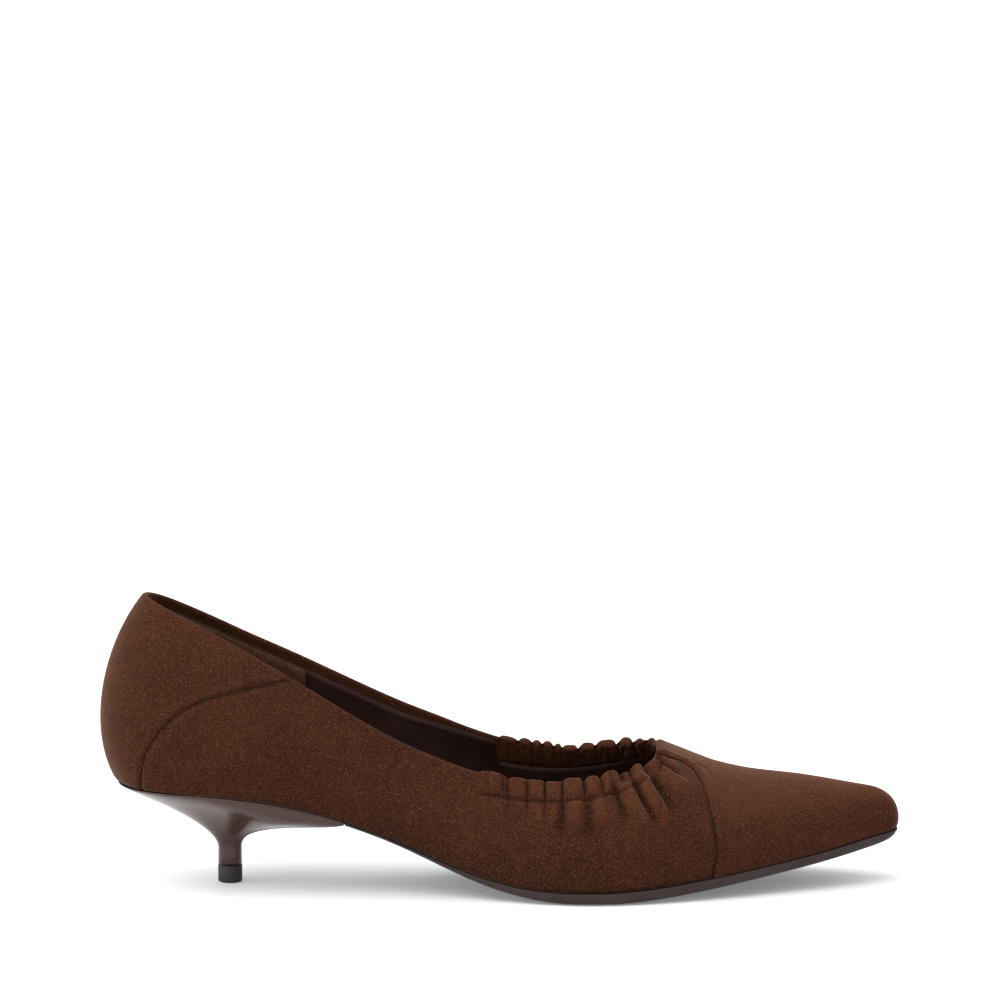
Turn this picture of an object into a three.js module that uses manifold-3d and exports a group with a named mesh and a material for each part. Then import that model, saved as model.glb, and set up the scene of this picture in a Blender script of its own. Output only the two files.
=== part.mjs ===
// A right-foot pump with a pointed toe, a ruched elastic topline and a kitten heel.
// Millimetres, +X to the toe, +Y to the medial side, +Z up. The origin is on the floor under
// the middle of the tread, where the forefoot stands.
import * as THREE from "three";
import { mergeVertices } from "three/addons/utils/BufferGeometryUtils.js";
import Module from "manifold-3d";

// Driving dimensions
const length = 260; // back of the heel to the tip of the toe
const ballWidth = 75; // feather edge across the ball of the foot
const seatHeight = 34; // floor to the feather edge under the heel of the foot
const collarHeight = 96; // floor to the topline at the back of the heel
const wall = 2.2; // suede, stiffener and lining of the upper
const clearance = 0.3; // between pieces that touch
const treadAt = 0.62; // the origin, as a share of the length from the back

// Sole
const treadThickness = 3.9;
const toeThickness = 3.1;
const waistThickness = 1.5;
const soleEdgeRoll = 3; // how far in the bottom edge starts to turn up
const soleEdgeLift = 1.2; // and how high
const soleMargin = 0.4; // how far the sole stands out past the feather edge at the toe
const tipThickness = 1.1; // at the very tip, where the sole's underside rounds up
const tipRound = 10; // length of that rounding
const waistInset = 0.8; // how far it is set in at the waist
const waistSole = { from: 0.36, to: 0.63 }; // the sole thickens from waist to tread, shares of length
const toeSole = { from: 0.677, to: 0.927 }; // and thins again from tread to toe

// Heel and its top piece
const breastAt = 0.309; // front end of the heel's wings, as a share of the length
const stemAt = 0.1625; // centre of the stem
const stemRadius = 3.85;
const stemTop = 11.5;
const kneeBack = 17.5; // height where the stem flares into the seat, at the back
const kneeFront = 19.2; // and under the wings
const topPieceHeight = 5.7;
const topPieceRadius = 3.95;
const topPieceChamfer = 0.5;
const heelInset = 0.4;
// Upright rim of the seat and its wings: at is a share of length, depth of seatHeight.
const rim = [
  { at: 0.02, depth: 0.02 },
  { at: 0.12, depth: 0.035 },
  { at: 0.17, depth: 0.076 },
  { at: 0.235, depth: 0.135 },
  { at: 0.285, depth: 0.082 },
  { at: 0.31, depth: 0.044 },
];

// Insole
const insoleThickness = 2;

// Overlays and casing
const overlayThickness = 1;
const overlayProud = 0.3; // how far toe cap and counter stand above the quarters
const casingHeight = 7.4;
const casingThickness = 4.2;
const puckers = 12;
const puckerDepth = 0.9;

// The last, a row for each section from the back of the heel to the tip of the toe.
// at, crest: shares of length, where the section's rib starts at the feather edge and where it tops out.
// lateral, medial: half widths at the feather edge, spine: the crest's sideways place, out and in: how far
// the wall bellies out on either side, all shares of ballWidth. rise: the feather edge's share of seatHeight.
// crown: the crest's share of collarHeight. lift, reach, drop: the rib's roundness, shares of its own size.
const sections = [
  { at: 0.0215, lateral: 0, medial: 0, rise: 0.994, crest: 0.1195, spine: 0, crown: 1.125, out: 0.178, in: 0.178, lift: 0.286, reach: 1, drop: 0.135 },
  { at: 0.034, lateral: 0.173, medial: 0.173, rise: 1, crest: 0.122, spine: 0, crown: 1.125, out: 0.158, in: 0.158, lift: 0.29, reach: 0.965, drop: 0.14 },
  { at: 0.065, lateral: 0.297, medial: 0.297, rise: 1, crest: 0.13, spine: 0, crown: 1.115, out: 0.12, in: 0.12, lift: 0.3, reach: 0.905, drop: 0.15 },
  { at: 0.123, lateral: 0.36, medial: 0.355, rise: 0.985, crest: 0.154, spine: 0, crown: 1.095, out: 0.085, in: 0.095, lift: 0.32, reach: 0.86, drop: 0.16 },
  { at: 0.2, lateral: 0.36, medial: 0.327, rise: 0.925, crest: 0.212, spine: 0.007, crown: 1.05, out: 0.08, in: 0.12, lift: 0.34, reach: 0.86, drop: 0.16 },
  { at: 0.285, lateral: 0.335, medial: 0.25, rise: 0.775, crest: 0.289, spine: 0.015, crown: 0.98, out: 0.1, in: 0.19, lift: 0.35, reach: 0.88, drop: 0.15 },
  { at: 0.373, lateral: 0.34, medial: 0.215, rise: 0.535, crest: 0.373, spine: 0.022, crown: 0.85, out: 0.11, in: 0.22, lift: 0.36, reach: 0.86, drop: 0.12 },
  { at: 0.458, lateral: 0.4, medial: 0.285, rise: 0.275, crest: 0.458, spine: 0.03, crown: 0.73, out: 0.085, in: 0.17, lift: 0.38, reach: 0.74, drop: 0.08 },
  { at: 0.535, lateral: 0.48, medial: 0.4, rise: 0.142, crest: 0.535, spine: 0.037, crown: 0.63, out: 0.05, in: 0.09, lift: 0.4, reach: 0.62, drop: 0.03 },
  { at: 0.608, lateral: 0.52, medial: 0.473, rise: 0.117, crest: 0.608, spine: 0.043, crown: 0.56, out: 0.035, in: 0.05, lift: 0.46, reach: 0.58, drop: 0 },
  { at: 0.677, lateral: 0.493, medial: 0.487, rise: 0.137, crest: 0.677, spine: 0.048, crown: 0.498, out: 0.035, in: 0.035, lift: 0.52, reach: 0.58, drop: 0 },
  { at: 0.746, lateral: 0.42, medial: 0.44, rise: 0.192, crest: 0.745, spine: 0.052, crown: 0.425, out: 0.04, in: 0.035, lift: 0.56, reach: 0.6, drop: 0 },
  { at: 0.812, lateral: 0.327, medial: 0.367, rise: 0.26, crest: 0.808, spine: 0.053, crown: 0.379, out: 0.04, in: 0.035, lift: 0.58, reach: 0.6, drop: 0 },
  { at: 0.873, lateral: 0.233, medial: 0.3, rise: 0.33, crest: 0.868, spine: 0.053, crown: 0.36, out: 0.04, in: 0.035, lift: 0.6, reach: 0.6, drop: 0 },
  { at: 0.927, lateral: 0.147, medial: 0.233, rise: 0.405, crest: 0.915, spine: 0.053, crown: 0.341, out: 0.035, in: 0.033, lift: 0.61, reach: 0.62, drop: 0.01 },
  { at: 0.967, lateral: 0.064, medial: 0.168, rise: 0.465, crest: 0.946, spine: 0.053, crown: 0.327, out: 0.03, in: 0.03, lift: 0.62, reach: 0.64, drop: 0.03 },
  { at: 0.9915, lateral: 0.02, medial: 0.127, rise: 0.5, crest: 0.959, spine: 0.053, crown: 0.321, out: 0.024, in: 0.024, lift: 0.62, reach: 0.65, drop: 0.045 },
  { at: 1, lateral: -0.053, medial: 0.053, rise: 0.512, crest: 0.962, spine: 0.053, crown: 0.319, out: 0.022, in: 0.022, lift: 0.62, reach: 0.65, drop: 0.05 },
];

// The topline seen from the side: at is a share of length, lateral and medial are shares of collarHeight.
const throatAt = 0.706;
const topline = [
  { at: 0.05, lateral: 1.003, medial: 1.003 },
  { at: 0.09, lateral: 0.962, medial: 0.95 },
  { at: 0.135, lateral: 0.905, medial: 0.89 },
  { at: 0.185, lateral: 0.833, medial: 0.824 },
  { at: 0.247, lateral: 0.737, medial: 0.749 },
  { at: 0.317, lateral: 0.622, medial: 0.662 },
  { at: 0.371, lateral: 0.54, medial: 0.596 },
  { at: 0.425, lateral: 0.477, medial: 0.536 },
  { at: 0.47, lateral: 0.435, medial: 0.485 },
  { at: 0.52, lateral: 0.41, medial: 0.441 },
  { at: 0.57, lateral: 0.4, medial: 0.423 },
  { at: 0.62, lateral: 0.405, medial: 0.425 },
  { at: 0.66, lateral: 0.42, medial: 0.44 },
  { at: 0.69, lateral: 0.443, medial: 0.455 },
];
const casingAt = { lateral: 0.474, medial: 0.5 }; // where the ruching starts, shares of length

// Seams seen from the side: up is a share of collarHeight, at a share of length.
const capSeam = [
  { up: -0.1, at: 0.755 },
  { up: 0.08, at: 0.765 },
  { up: 0.17, at: 0.771 },
  { up: 0.27, at: 0.767 },
  { up: 0.34, at: 0.757 },
  { up: 0.4, at: 0.742 },
  { up: 0.44, at: 0.724 },
  { up: 0.6, at: 0.63 },
];
const counterSeam = [
  { at: 0.055, up: 0.3 },
  { at: 0.056, up: 0.38 },
  { at: 0.06, up: 0.45 },
  { at: 0.071, up: 0.522 },
  { at: 0.088, up: 0.584 },
  { at: 0.107, up: 0.631 },
  { at: 0.131, up: 0.667 },
  { at: 0.156, up: 0.688 },
  { at: 0.205, up: 0.718 },
  { at: 0.247, up: 0.738 },
  { at: 0.29, up: 0.76 },
];

// Mesh detail
const ribsToCasing = 15;
const ribsAlongCasing = 12;
const ribsToToe = 16;
const stepsUp = 8;
const stepsAcross = 4;
const stepsPerPucker = 4;

const wasm = await Module();
wasm.setup();

const last = sections.length - 1;
const period = 2 * last;
const lateral = -1;
const medial = 1;
const mix = (a, b, share) => a + (b - a) * share;
const clamp = (value, low, high) => Math.min(high, Math.max(low, value));
const smooth = (value) => clamp(value, 0, 1) ** 2 * (3 - 2 * clamp(value, 0, 1));

// A smooth closed curve through one value for each section, lateral side forward and medial side back.
function ring(valueOf) {
  const values = Array.from({ length: period }, (_, i) =>
    i <= last ? valueOf(sections[i], lateral) : valueOf(sections[period - i], medial),
  );
  const slopes = values.map(() => 0);
  const at = (list, i) => list[(i + period) % period];
  for (let sweep = 0; sweep < 60; sweep++)
    for (let i = 0; i < period; i++)
      slopes[i] = (3 * (at(values, i + 1) - at(values, i - 1)) - at(slopes, i - 1) - at(slopes, i + 1)) / 4;
  return (place) => {
    const i = Math.floor(place);
    const f = place - i;
    const g = 1 - f;
    return (
      at(values, i) * (1 + 2 * f) * g * g +
      at(slopes, i) * f * g * g +
      at(values, i + 1) * f * f * (3 - 2 * f) -
      at(slopes, i + 1) * f * f * g
    );
  };
}

const sideOf = (section, side) => (side < 0 ? -section.lateral : section.medial);
const form = {
  x: ring((s) => s.at * length),
  y: ring((s, side) => sideOf(s, side) * ballWidth),
  z: ring((s) => s.rise * seatHeight),
  crestX: ring((s) => s.crest * length),
  crestY: ring((s) => s.spine * ballWidth),
  crestZ: ring((s) => s.crown * collarHeight),
  belly: ring((s, side) => (side < 0 ? s.out : s.in) * ballWidth),
  lift: ring((s) => s.lift),
  reach: ring((s) => s.reach),
  drop: ring((s) => s.drop),
};

// A smooth curve through a short table: column as a function of key.
function curve(table, key, column) {
  const slope = (i) => {
    const a = table[Math.max(0, i - 1)];
    const b = table[Math.min(table.length - 1, i + 1)];
    return (b[column] - a[column]) / (b[key] - a[key]);
  };
  return (value) => {
    let i = 0;
    while (i < table.length - 2 && table[i + 1][key] < value) i++;
    const [a, b] = [table[i], table[i + 1]];
    const span = b[key] - a[key];
    const f = (value - a[key]) / span;
    if (f < 0) return a[column] + slope(i) * (value - a[key]);
    if (f > 1) return b[column] + slope(i + 1) * (value - b[key]);
    const g = 1 - f;
    return (
      a[column] * (1 + 2 * f) * g * g +
      slope(i) * span * f * g * g +
      b[column] * f * f * (3 - 2 * f) -
      slope(i + 1) * span * f * f * g
    );
  };
}

// The place round the last of a section number, counted from the back on either side.
const placeOf = (section, side) => (side < 0 ? section : period - section);

// Where a value that grows along the sections reaches a limit, as a section number.
function sectionWhere(valueAt, limit) {
  let [low, high] = [0, last];
  for (let i = 0; i < 50; i++) {
    const middle = (low + high) / 2;
    if (valueAt(middle) < limit) low = middle;
    else high = middle;
  }
  return high;
}

// One rib of the last, from the feather edge over to the crest, as a cubic curve.
function ribOf(section, side) {
  const place = placeOf(section, side);
  const foot = new THREE.Vector3(form.x(place), form.y(place), form.z(place));
  const crest = new THREE.Vector3(form.crestX(place), form.crestY(place), form.crestZ(place));
  const outward = foot.clone().sub(crest).setZ(0);
  const width = outward.length();
  outward.normalize();
  const height = crest.z - foot.z;
  const low = foot.clone().addScaledVector(outward, form.belly(place));
  low.z += form.lift(place) * height;
  const high = crest.clone().addScaledVector(outward, form.reach(place) * width);
  high.z -= form.drop(place) * height;
  return new THREE.CubicBezierCurve3(foot, low, high, crest);
}

const throat = sectionWhere(form.crestX, throatAt * length);
const toplineRows = [
  ...topline,
  { at: throatAt, lateral: form.crestZ(throat) / collarHeight, medial: form.crestZ(throat) / collarHeight },
];
const toplineHeight = {
  [lateral]: curve(toplineRows, "at", "lateral"),
  [medial]: curve(toplineRows, "at", "medial"),
};

// How far up its rib the topline lies, 1 being the crest.
function toplineShare(section, side) {
  if (section >= throat) return 1;
  const rib = ribOf(section, side);
  const height = toplineHeight[section > 0 ? side : lateral];
  let [low, high] = [0.15, 1];
  for (let i = 0; i < 40; i++) {
    const middle = (low + high) / 2;
    const p = rib.getPoint(middle);
    if (p.z < height(p.x / length) * collarHeight) low = middle;
    else high = middle;
  }
  return high;
}

// An open surface of triangles with a normal at each corner.
function surface(rows) {
  const positions = [];
  const index = [];
  for (const grid of rows) {
    const start = positions.length / 3;
    const across = grid[0].length;
    grid.flat().forEach((p) => positions.push(p.x, p.y, p.z));
    for (let i = 0; i + 1 < grid.length; i++)
      for (let j = 0; j + 1 < across; j++) {
        const a = start + i * across + j;
        const [b, c, d] = [a + 1, a + across, a + across + 1];
        index.push(a, c, d, a, d, b);
      }
  }
  const geometry = new THREE.BufferGeometry();
  geometry.setAttribute("position", new THREE.Float32BufferAttribute(positions, 3));
  geometry.setIndex(index);
  return welded(geometry);
}

// Joins corners that coincide and drops triangles that have shrunk to a line.
function welded(geometry) {
  const merged = mergeVertices(geometry, 1e-3);
  const source = merged.index.array;
  const kept = [];
  for (let i = 0; i < source.length; i += 3) {
    const [a, b, c] = source.slice(i, i + 3);
    if (a !== b && b !== c && c !== a) kept.push(a, b, c);
  }
  merged.setIndex(kept);
  merged.computeVertexNormals();
  return merged;
}

// A closed solid between two offsets of an open surface. Each offset is a function of the corner's number.
// Corners on the feather edge are moved out level.
function thickened(open, innerAt, outerAt, onEdge = () => false) {
  const point = open.attributes.position;
  const normal = open.attributes.normal;
  const count = point.count;
  const positions = [];
  for (const offsetAt of [outerAt, innerAt])
    for (let i = 0; i < count; i++) {
      const n = new THREE.Vector3().fromBufferAttribute(normal, i);
      if (onEdge(i)) n.setZ(0).normalize();
      const p = new THREE.Vector3().fromBufferAttribute(point, i).addScaledVector(n, offsetAt(i));
      positions.push(p.x, p.y, p.z);
    }
  const faces = Array.from(open.index.array);
  const index = [...faces];
  const edges = new Set();
  for (let i = 0; i < faces.length; i += 3) {
    const [a, b, c] = faces.slice(i, i + 3);
    index.push(count + a, count + c, count + b);
    edges.add(`${a} ${b}`).add(`${b} ${c}`).add(`${c} ${a}`);
  }
  for (const edge of edges) {
    const [a, b] = edge.split(" ").map(Number);
    if (!edges.has(`${b} ${a}`)) index.push(b, a, count + a, b, count + a, count + b);
  }
  const geometry = new THREE.BufferGeometry();
  geometry.setAttribute("position", new THREE.Float32BufferAttribute(positions, 3));
  geometry.setIndex(index);
  return geometry;
}

// Geometry to manifold solid and back.
function solid(geometry) {
  const bare = new THREE.BufferGeometry();
  bare.setAttribute("position", geometry.attributes.position);
  bare.setIndex(geometry.index);
  const merged = welded(bare);
  return new wasm.Manifold(
    new wasm.Mesh({
      numProp: 3,
      vertProperties: new Float32Array(merged.attributes.position.array),
      triVerts: new Uint32Array(merged.index.array),
    }),
  );
}

function geometryOf(manifold) {
  const mesh = manifold.getMesh();
  const geometry = new THREE.BufferGeometry();
  geometry.setAttribute("position", new THREE.Float32BufferAttribute(mesh.vertProperties, 3));
  geometry.setIndex(new THREE.BufferAttribute(mesh.triVerts, 1));
  return geometry;
}

const largest = (manifold) =>
  manifold
    .simplify(0.01)
    .decompose()
    .sort((a, b) => b.volume() - a.volume())[0];

// The whole outside of the upper, from the feather edge to the topline and over the toe.
const evenly = (from, to, count) => Array.from({ length: count }, (_, i) => mix(from, to, i / count));
const casingStart = {
  [lateral]: sectionWhere(form.x, casingAt.lateral * length),
  [medial]: sectionWhere(form.x, casingAt.medial * length),
};
const ribSections = [
  ...evenly(0, casingStart[lateral], ribsToCasing),
  ...evenly(casingStart[lateral], throat, ribsAlongCasing),
  ...evenly(throat, last, ribsToToe),
  last,
];

// Beyond is how far the ribs run on past both of their edges, as a share of their own length.
function upperSurface(beyond) {
  const gridOf = (side) =>
    ribSections.map((section) => {
      const rib = ribOf(section, side);
      const top = toplineShare(section, side);
      const up = Array.from({ length: stepsUp + 1 }, (_, j) => rib.getPoint((top * j) / stepsUp));
      return beyond ? [rib.getPoint(-beyond), ...up, rib.getPoint(Math.min(1, top + beyond))] : up;
    });
  return surface([gridOf(lateral), gridOf(medial).reverse()]);
}

const outside = upperSurface(0);

function onFeatherEdge(i) {
  const corner = new THREE.Vector3().fromBufferAttribute(outside.attributes.position, i);
  const section = sectionWhere(form.x, corner.x);
  return ribOf(section, corner.y < 0 ? lateral : medial).v0.distanceTo(corner) < 0.01;
}

const shell = (inner, outer) => solid(thickened(outside, () => inner, () => outer, onFeatherEdge));

// A block across the whole shoe whose outline is given in the side view.
function acrossTheShoe(outline) {
  const shape = new THREE.Shape(outline.map(([x, z]) => new THREE.Vector2(x, z)));
  const block = new THREE.ExtrudeGeometry(shape, { depth: 2 * ballWidth, bevelEnabled: false });
  block.translate(0, 0, -ballWidth);
  block.rotateX(Math.PI / 2);
  block.deleteAttribute("normal");
  block.deleteAttribute("uv");
  return solid(mergeVertices(block, 1e-4));
}

// The side-view regions of toe cap and counter, drawn back from their seam by a gap.
function capRegion(gap) {
  const seam = capSeam.map((p) => [p.at * length + gap, p.up * collarHeight]);
  return acrossTheShoe([...seam, [length * 1.1, collarHeight], [length * 1.1, -collarHeight * 0.1]]);
}

function counterRegion(gap) {
  const seam = counterSeam.map((p) => [p.at * length - gap, p.up * collarHeight + gap / 2]);
  return acrossTheShoe([...seam, [length * 0.3, collarHeight * 1.2], [-length * 0.1, collarHeight * 1.2], [-length * 0.1, 0.25 * collarHeight]]);
}

// A patch of the upper near the topline: across runs from 0 at the stitch line to 1 at the top.
function casingPatch(side, from, to, steps, heightAt, levels) {
  const rows = [];
  for (let i = 0; i <= steps; i++) {
    const along = i / steps;
    const section = mix(from, to, along);
    const rib = ribOf(section, side);
    const top = toplineShare(section, side);
    const speed = rib.getPoint(top).distanceTo(rib.getPoint(top - 0.02)) / 0.02;
    const [low, high] = heightAt(along);
    rows.push(levels.map((level) => rib.getPoint(clamp(top + mix(low, high, level) / speed, 0, 1))));
  }
  return surface([side < 0 ? rows : rows.reverse()]);
}

// The gathered casing that holds the elastic, a bead with a pucker for each fold.
function casing(side) {
  const bead = [0.5, 0.85, 1, 0.8, 0.4];
  const levels = bead.map((_, i) => i / (bead.length - 1));
  const steps = puckers * stepsPerPucker;
  const pinch = (along) => Math.abs(Math.sin(Math.PI * puckers * along)) ** 0.7;
  const patch = casingPatch(
    side,
    casingStart[side] + 0.04,
    throat + 0.08,
    steps,
    (along) => [3 * clearance - casingHeight, -puckerDepth * (1 - pinch(along))],
    levels,
  );
  const thicknessAt = (i) => {
    const row = Math.floor(i / levels.length);
    const along = side < 0 ? row / steps : 1 - row / steps;
    return (casingThickness / 2) * bead[i % levels.length] * mix(0.72, 1, pinch(along));
  };
  const middle = -wall / 2;
  return solid(thickened(patch, (i) => middle - thicknessAt(i), (i) => middle + thicknessAt(i)))
    .subtract(capRegion(-2 * clearance))
    .trimByPlane([0, side, 0], side * form.crestY(throat) + clearance / 2);
}

// What the casing takes the place of in the upper.
function casingRoom(side) {
  const steps = puckers * stepsPerPucker;
  const deeper = (along) => [-casingHeight - 4 * clearance * along ** 6, 4];
  const patch = casingPatch(side, casingStart[side], throat + 0.2, steps, deeper, [0, 0.2, 0.4, 0.7, 1]);
  return solid(thickened(patch, () => -wall - 4, () => 4)).subtract(capRegion(-clearance));
}

// Upper
const overlayRoom = solid(
  thickened(upperSurface(0.04), () => overlayProud - overlayThickness - clearance, () => 2 * wall),
);
const capRoom = overlayRoom.intersect(capRegion(-clearance));
const counterRoom = overlayRoom.intersect(counterRegion(-clearance));
const upperSolid = [capRoom, counterRoom, casingRoom(lateral), casingRoom(medial)].reduce(
  (rest, room) => rest.subtract(room),
  shell(-wall, 0),
);
const overlay = shell(overlayProud - overlayThickness, overlayProud);

// Outline of the sole at a section, moved out from the feather edge by a margin.
function edgeOf(section, side, margin) {
  const place = placeOf(section, side);
  const step = 0.01;
  const along = new THREE.Vector2(
    form.x(place + step) - form.x(place - step),
    form.y(place + step) - form.y(place - step),
  ).normalize();
  return new THREE.Vector2(form.x(place) + along.y * margin, form.y(place) - along.x * margin);
}

const featherHeight = (x) => form.z(sectionWhere(form.x, clamp(x, form.x(0), length)));
const soleTop = (x) => featherHeight(x) - clearance;

// A slab that follows the bottom of the last: outline and heights come from functions.
function slab(from, to, steps, marginAt, topAt, profileAt) {
  const stations = Array.from({ length: steps + 1 }, (_, i) => mix(from, to, i / steps)).map((section) => {
    const a = edgeOf(section, lateral, marginAt(section));
    const b = edgeOf(section, medial, marginAt(section));
    const loop = [];
    const width = Math.max(a.distanceTo(b), 1e-4);
    for (let j = 0; j <= stepsAcross; j++) {
      const p = a.clone().lerp(b, j / stepsAcross);
      loop.push(new THREE.Vector3(p.x, p.y, topAt(p.x)));
    }
    const under = profileAt(section);
    const round = under.map(([inset, z]) => [Math.min(inset / width, 0.5), z]);
    for (const [share, zOf] of [...round].reverse()) {
      const p = b.clone().lerp(a, share);
      loop.push(new THREE.Vector3(p.x, p.y, zOf(p.x)));
    }
    const [flatShare, flatZ] = round[0];
    for (let j = 1; j < stepsAcross; j++) {
      const p = b.clone().lerp(a, mix(flatShare, 1 - flatShare, j / stepsAcross));
      loop.push(new THREE.Vector3(p.x, p.y, flatZ(p.x)));
    }
    for (const [share, zOf] of round) {
      const p = a.clone().lerp(b, share);
      loop.push(new THREE.Vector3(p.x, p.y, zOf(p.x)));
    }
    return loop;
  });
  const positions = [];
  const index = [];
  const size = stations[0].length;
  stations.flat().forEach((p) => positions.push(p.x, p.y, p.z));
  for (let i = 0; i + 1 < stations.length; i++)
    for (let j = 0; j < size; j++) {
      const a = i * size + j;
      const b = i * size + ((j + 1) % size);
      index.push(a, a + size, b + size, a, b + size, b);
    }
  // Both ends are closed across, top row to bottom row.
  const across = stepsAcross;
  const extra = size - 2 * across - 2;
  const facing = [0, stations.length - 1];
  for (const i of facing) {
    const at = (j) => i * size + j;
    const push = (a, b, c) => (i ? index.push(at(a), at(c), at(b)) : index.push(at(a), at(b), at(c)));
    const bottom = (j) => size - 1 - j;
    const half = extra / 2;
    // corner fans beside the first and the last top point, then the strip between
    for (let k = 0; k < half; k++) push(0, bottom(k + 1), bottom(k));
    for (let k = 0; k < half; k++) push(across, across + 1 + k, across + 2 + k);
    for (let j = 0; j < across; j++) {
      push(j, j + 1, bottom(half + j));
      push(j + 1, bottom(half + j + 1), bottom(half + j));
    }
  }
  const geometry = new THREE.BufferGeometry();
  geometry.setAttribute("position", new THREE.Float32BufferAttribute(positions, 3));
  geometry.setIndex(index);
  return geometryOf(solid(geometry));
}

// Outsole, from the heel's breast to the toe
const breast = sectionWhere(form.x, breastAt * length);
function outsole() {
  const along = (section, stretch) => smooth((form.x(section) / length - stretch.from) / (stretch.to - stretch.from));
  const waist = (section) => along(section, waistSole);
  const toe = (section) => along(section, toeSole);
  const thickness = (section) => mix(mix(waistThickness, treadThickness, waist(section)), toeThickness, toe(section));
  const rounding = (x) => Math.sqrt(1 - clamp(1 - (length - x) / tipRound, 0, 1) ** 2);
  return slab(
    sectionWhere(form.x, breastAt * length + clearance),
    last,
    36,
    (section) => mix(-waistInset, soleMargin, waist(section)),
    soleTop,
    (section) => {
      const under = (x) => Math.max(0, soleTop(x) - mix(tipThickness, thickness(section), rounding(x)));
      const half = (x) => Math.min(soleTop(x) - clearance, under(x) + soleEdgeLift);
      return [
        [soleEdgeRoll, under],
        [0.1, half],
      ];
    },
  );
}

// Insole, inside the wall and on the outsole
function insole() {
  const inside = -wall - clearance - 0.5;
  const bottom = featherHeight;
  return slab(
    0,
    last,
    32,
    () => inside,
    (x) => bottom(x) + insoleThickness,
    () => [
      [0.6, bottom],
      [0.05, (x) => bottom(x) + 0.5],
    ],
  );
}

// Heel: ribs sweep from the seat's edge down to the slim stem.
function heel() {
  const rimDepth = curve(rim, "at", "depth");
  const stations = 18;
  const top = Array.from({ length: stations + 1 }, (_, i) => {
    const section = mix(0, breast, i / stations);
    const a = edgeOf(section, lateral, -heelInset);
    const b = edgeOf(section, medial, -heelInset);
    return Array.from({ length: stepsAcross + 1 }, (_, j) => {
      const p = a.clone().lerp(b, j / stepsAcross);
      return new THREE.Vector3(p.x, p.y, soleTop(p.x));
    });
  });
  const axis = new THREE.Vector2(stemAt * length, 0);
  const stemFoot = topPieceHeight + clearance;
  const sweep = 9;
  const ribUnder = (edge) => {
    const out = new THREE.Vector2(edge.x, edge.y).sub(axis);
    const radius = out.length();
    out.normalize();
    const lip = edge.z - rimDepth(edge.x / length) * seatHeight;
    const front = smooth((out.x + 0.1) / 0.9);
    const flare = mix(0.52, 0.5, front);
    const knee = mix(kneeBack, kneeFront, front);
    const place = (r, z) => new THREE.Vector3(axis.x + out.x * r, axis.y + out.y * r, z);
    const bend = new THREE.CubicBezierCurve3(
      place(stemRadius, stemTop),
      place(stemRadius, knee),
      place(mix(stemRadius, radius, flare), mix(lip, knee, mix(0.42, 0.72, front))),
      place(radius - clearance, lip),
    );
    const points = [place(stemRadius, stemFoot)];
    for (let k = 0; k <= sweep; k++) points.push(bend.getPoint(k / sweep));
    points.push(edge);
    return points;
  };
  const loop = [
    ...top.map((row) => row[0]).reverse(),
    ...top.slice(1).map((row) => row[stepsAcross]),
    ...top[stations].slice(1, stepsAcross).reverse(),
  ];
  const positions = [];
  const index = [];
  const add = (p) => positions.push(p.x, p.y, p.z) / 3 - 1;
  const grid = top.map((row) => row.map(add));
  for (let i = 0; i < stations; i++)
    for (let j = 0; j < stepsAcross; j++) {
      const [a, b, c, d] = [grid[i][j], grid[i + 1][j], grid[i][j + 1], grid[i + 1][j + 1]];
      index.push(a, b, d, a, d, c);
    }
  const ribs = loop.map((edge) => ribUnder(edge).map(add));
  const centre = add(new THREE.Vector3(axis.x, axis.y, stemFoot));
  ribs.forEach((rib, i) => {
    const next = ribs[(i + 1) % ribs.length];
    for (let k = 0; k + 1 < rib.length; k++) index.push(rib[k], rib[k + 1], next[k + 1], rib[k], next[k + 1], next[k]);
    index.push(centre, rib[0], next[0]);
  });
  const geometry = new THREE.BufferGeometry();
  geometry.setAttribute("position", new THREE.Float32BufferAttribute(positions, 3));
  geometry.setIndex(index);
  return geometryOf(solid(geometry));
}

// Top piece: the rubber tip that stands on the floor
function topPiece() {
  const profile = [
    [0, 0],
    [topPieceRadius - topPieceChamfer, 0],
    [topPieceRadius, topPieceChamfer],
    [topPieceRadius, topPieceHeight],
    [0, topPieceHeight],
  ];
  const tip = new THREE.LatheGeometry(profile.map(([r, z]) => new THREE.Vector2(r, z)), 28);
  tip.rotateX(Math.PI / 2);
  tip.translate(stemAt * length, 0, 0);
  tip.deleteAttribute("normal");
  tip.deleteAttribute("uv");
  return tip;
}

// Materials
const suede = new THREE.MeshStandardMaterial({ color: 0x5a2f1c, roughness: 0.95, metalness: 0 });
const lining = new THREE.MeshStandardMaterial({ color: 0x2a1714, roughness: 0.55, metalness: 0 });
const resin = new THREE.MeshStandardMaterial({ color: 0x4a3430, roughness: 0.35, metalness: 0 });
const rubber = new THREE.MeshStandardMaterial({ color: 0x1c1b1b, roughness: 0.7, metalness: 0 });

const shoe = new THREE.Group();
shoe.position.set(-treadAt * length, 0, 0);

function place(name, geometry, material) {
  const mesh = new THREE.Mesh(geometry, material);
  mesh.name = name;
  shoe.add(mesh);
}

place("upper", geometryOf(largest(upperSolid)), suede);
place("toe_cap", geometryOf(largest(overlay.intersect(capRegion(0)))), suede);
place("back_counter", geometryOf(largest(overlay.intersect(counterRegion(0)))), suede);
place("casing_lateral", geometryOf(largest(casing(lateral))), suede);
place("casing_medial", geometryOf(largest(casing(medial))), suede);
place("insole", insole(), lining);
place("outsole", outsole(), resin);
place("heel", heel(), resin);
place("top_piece", topPiece(), rubber);

const part = new THREE.Group();
part.add(shoe);
export default part;
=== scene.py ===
"""Looks of a right-foot suede pump with a gathered topline and a kitten heel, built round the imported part."""

import math
from collections import namedtuple

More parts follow.
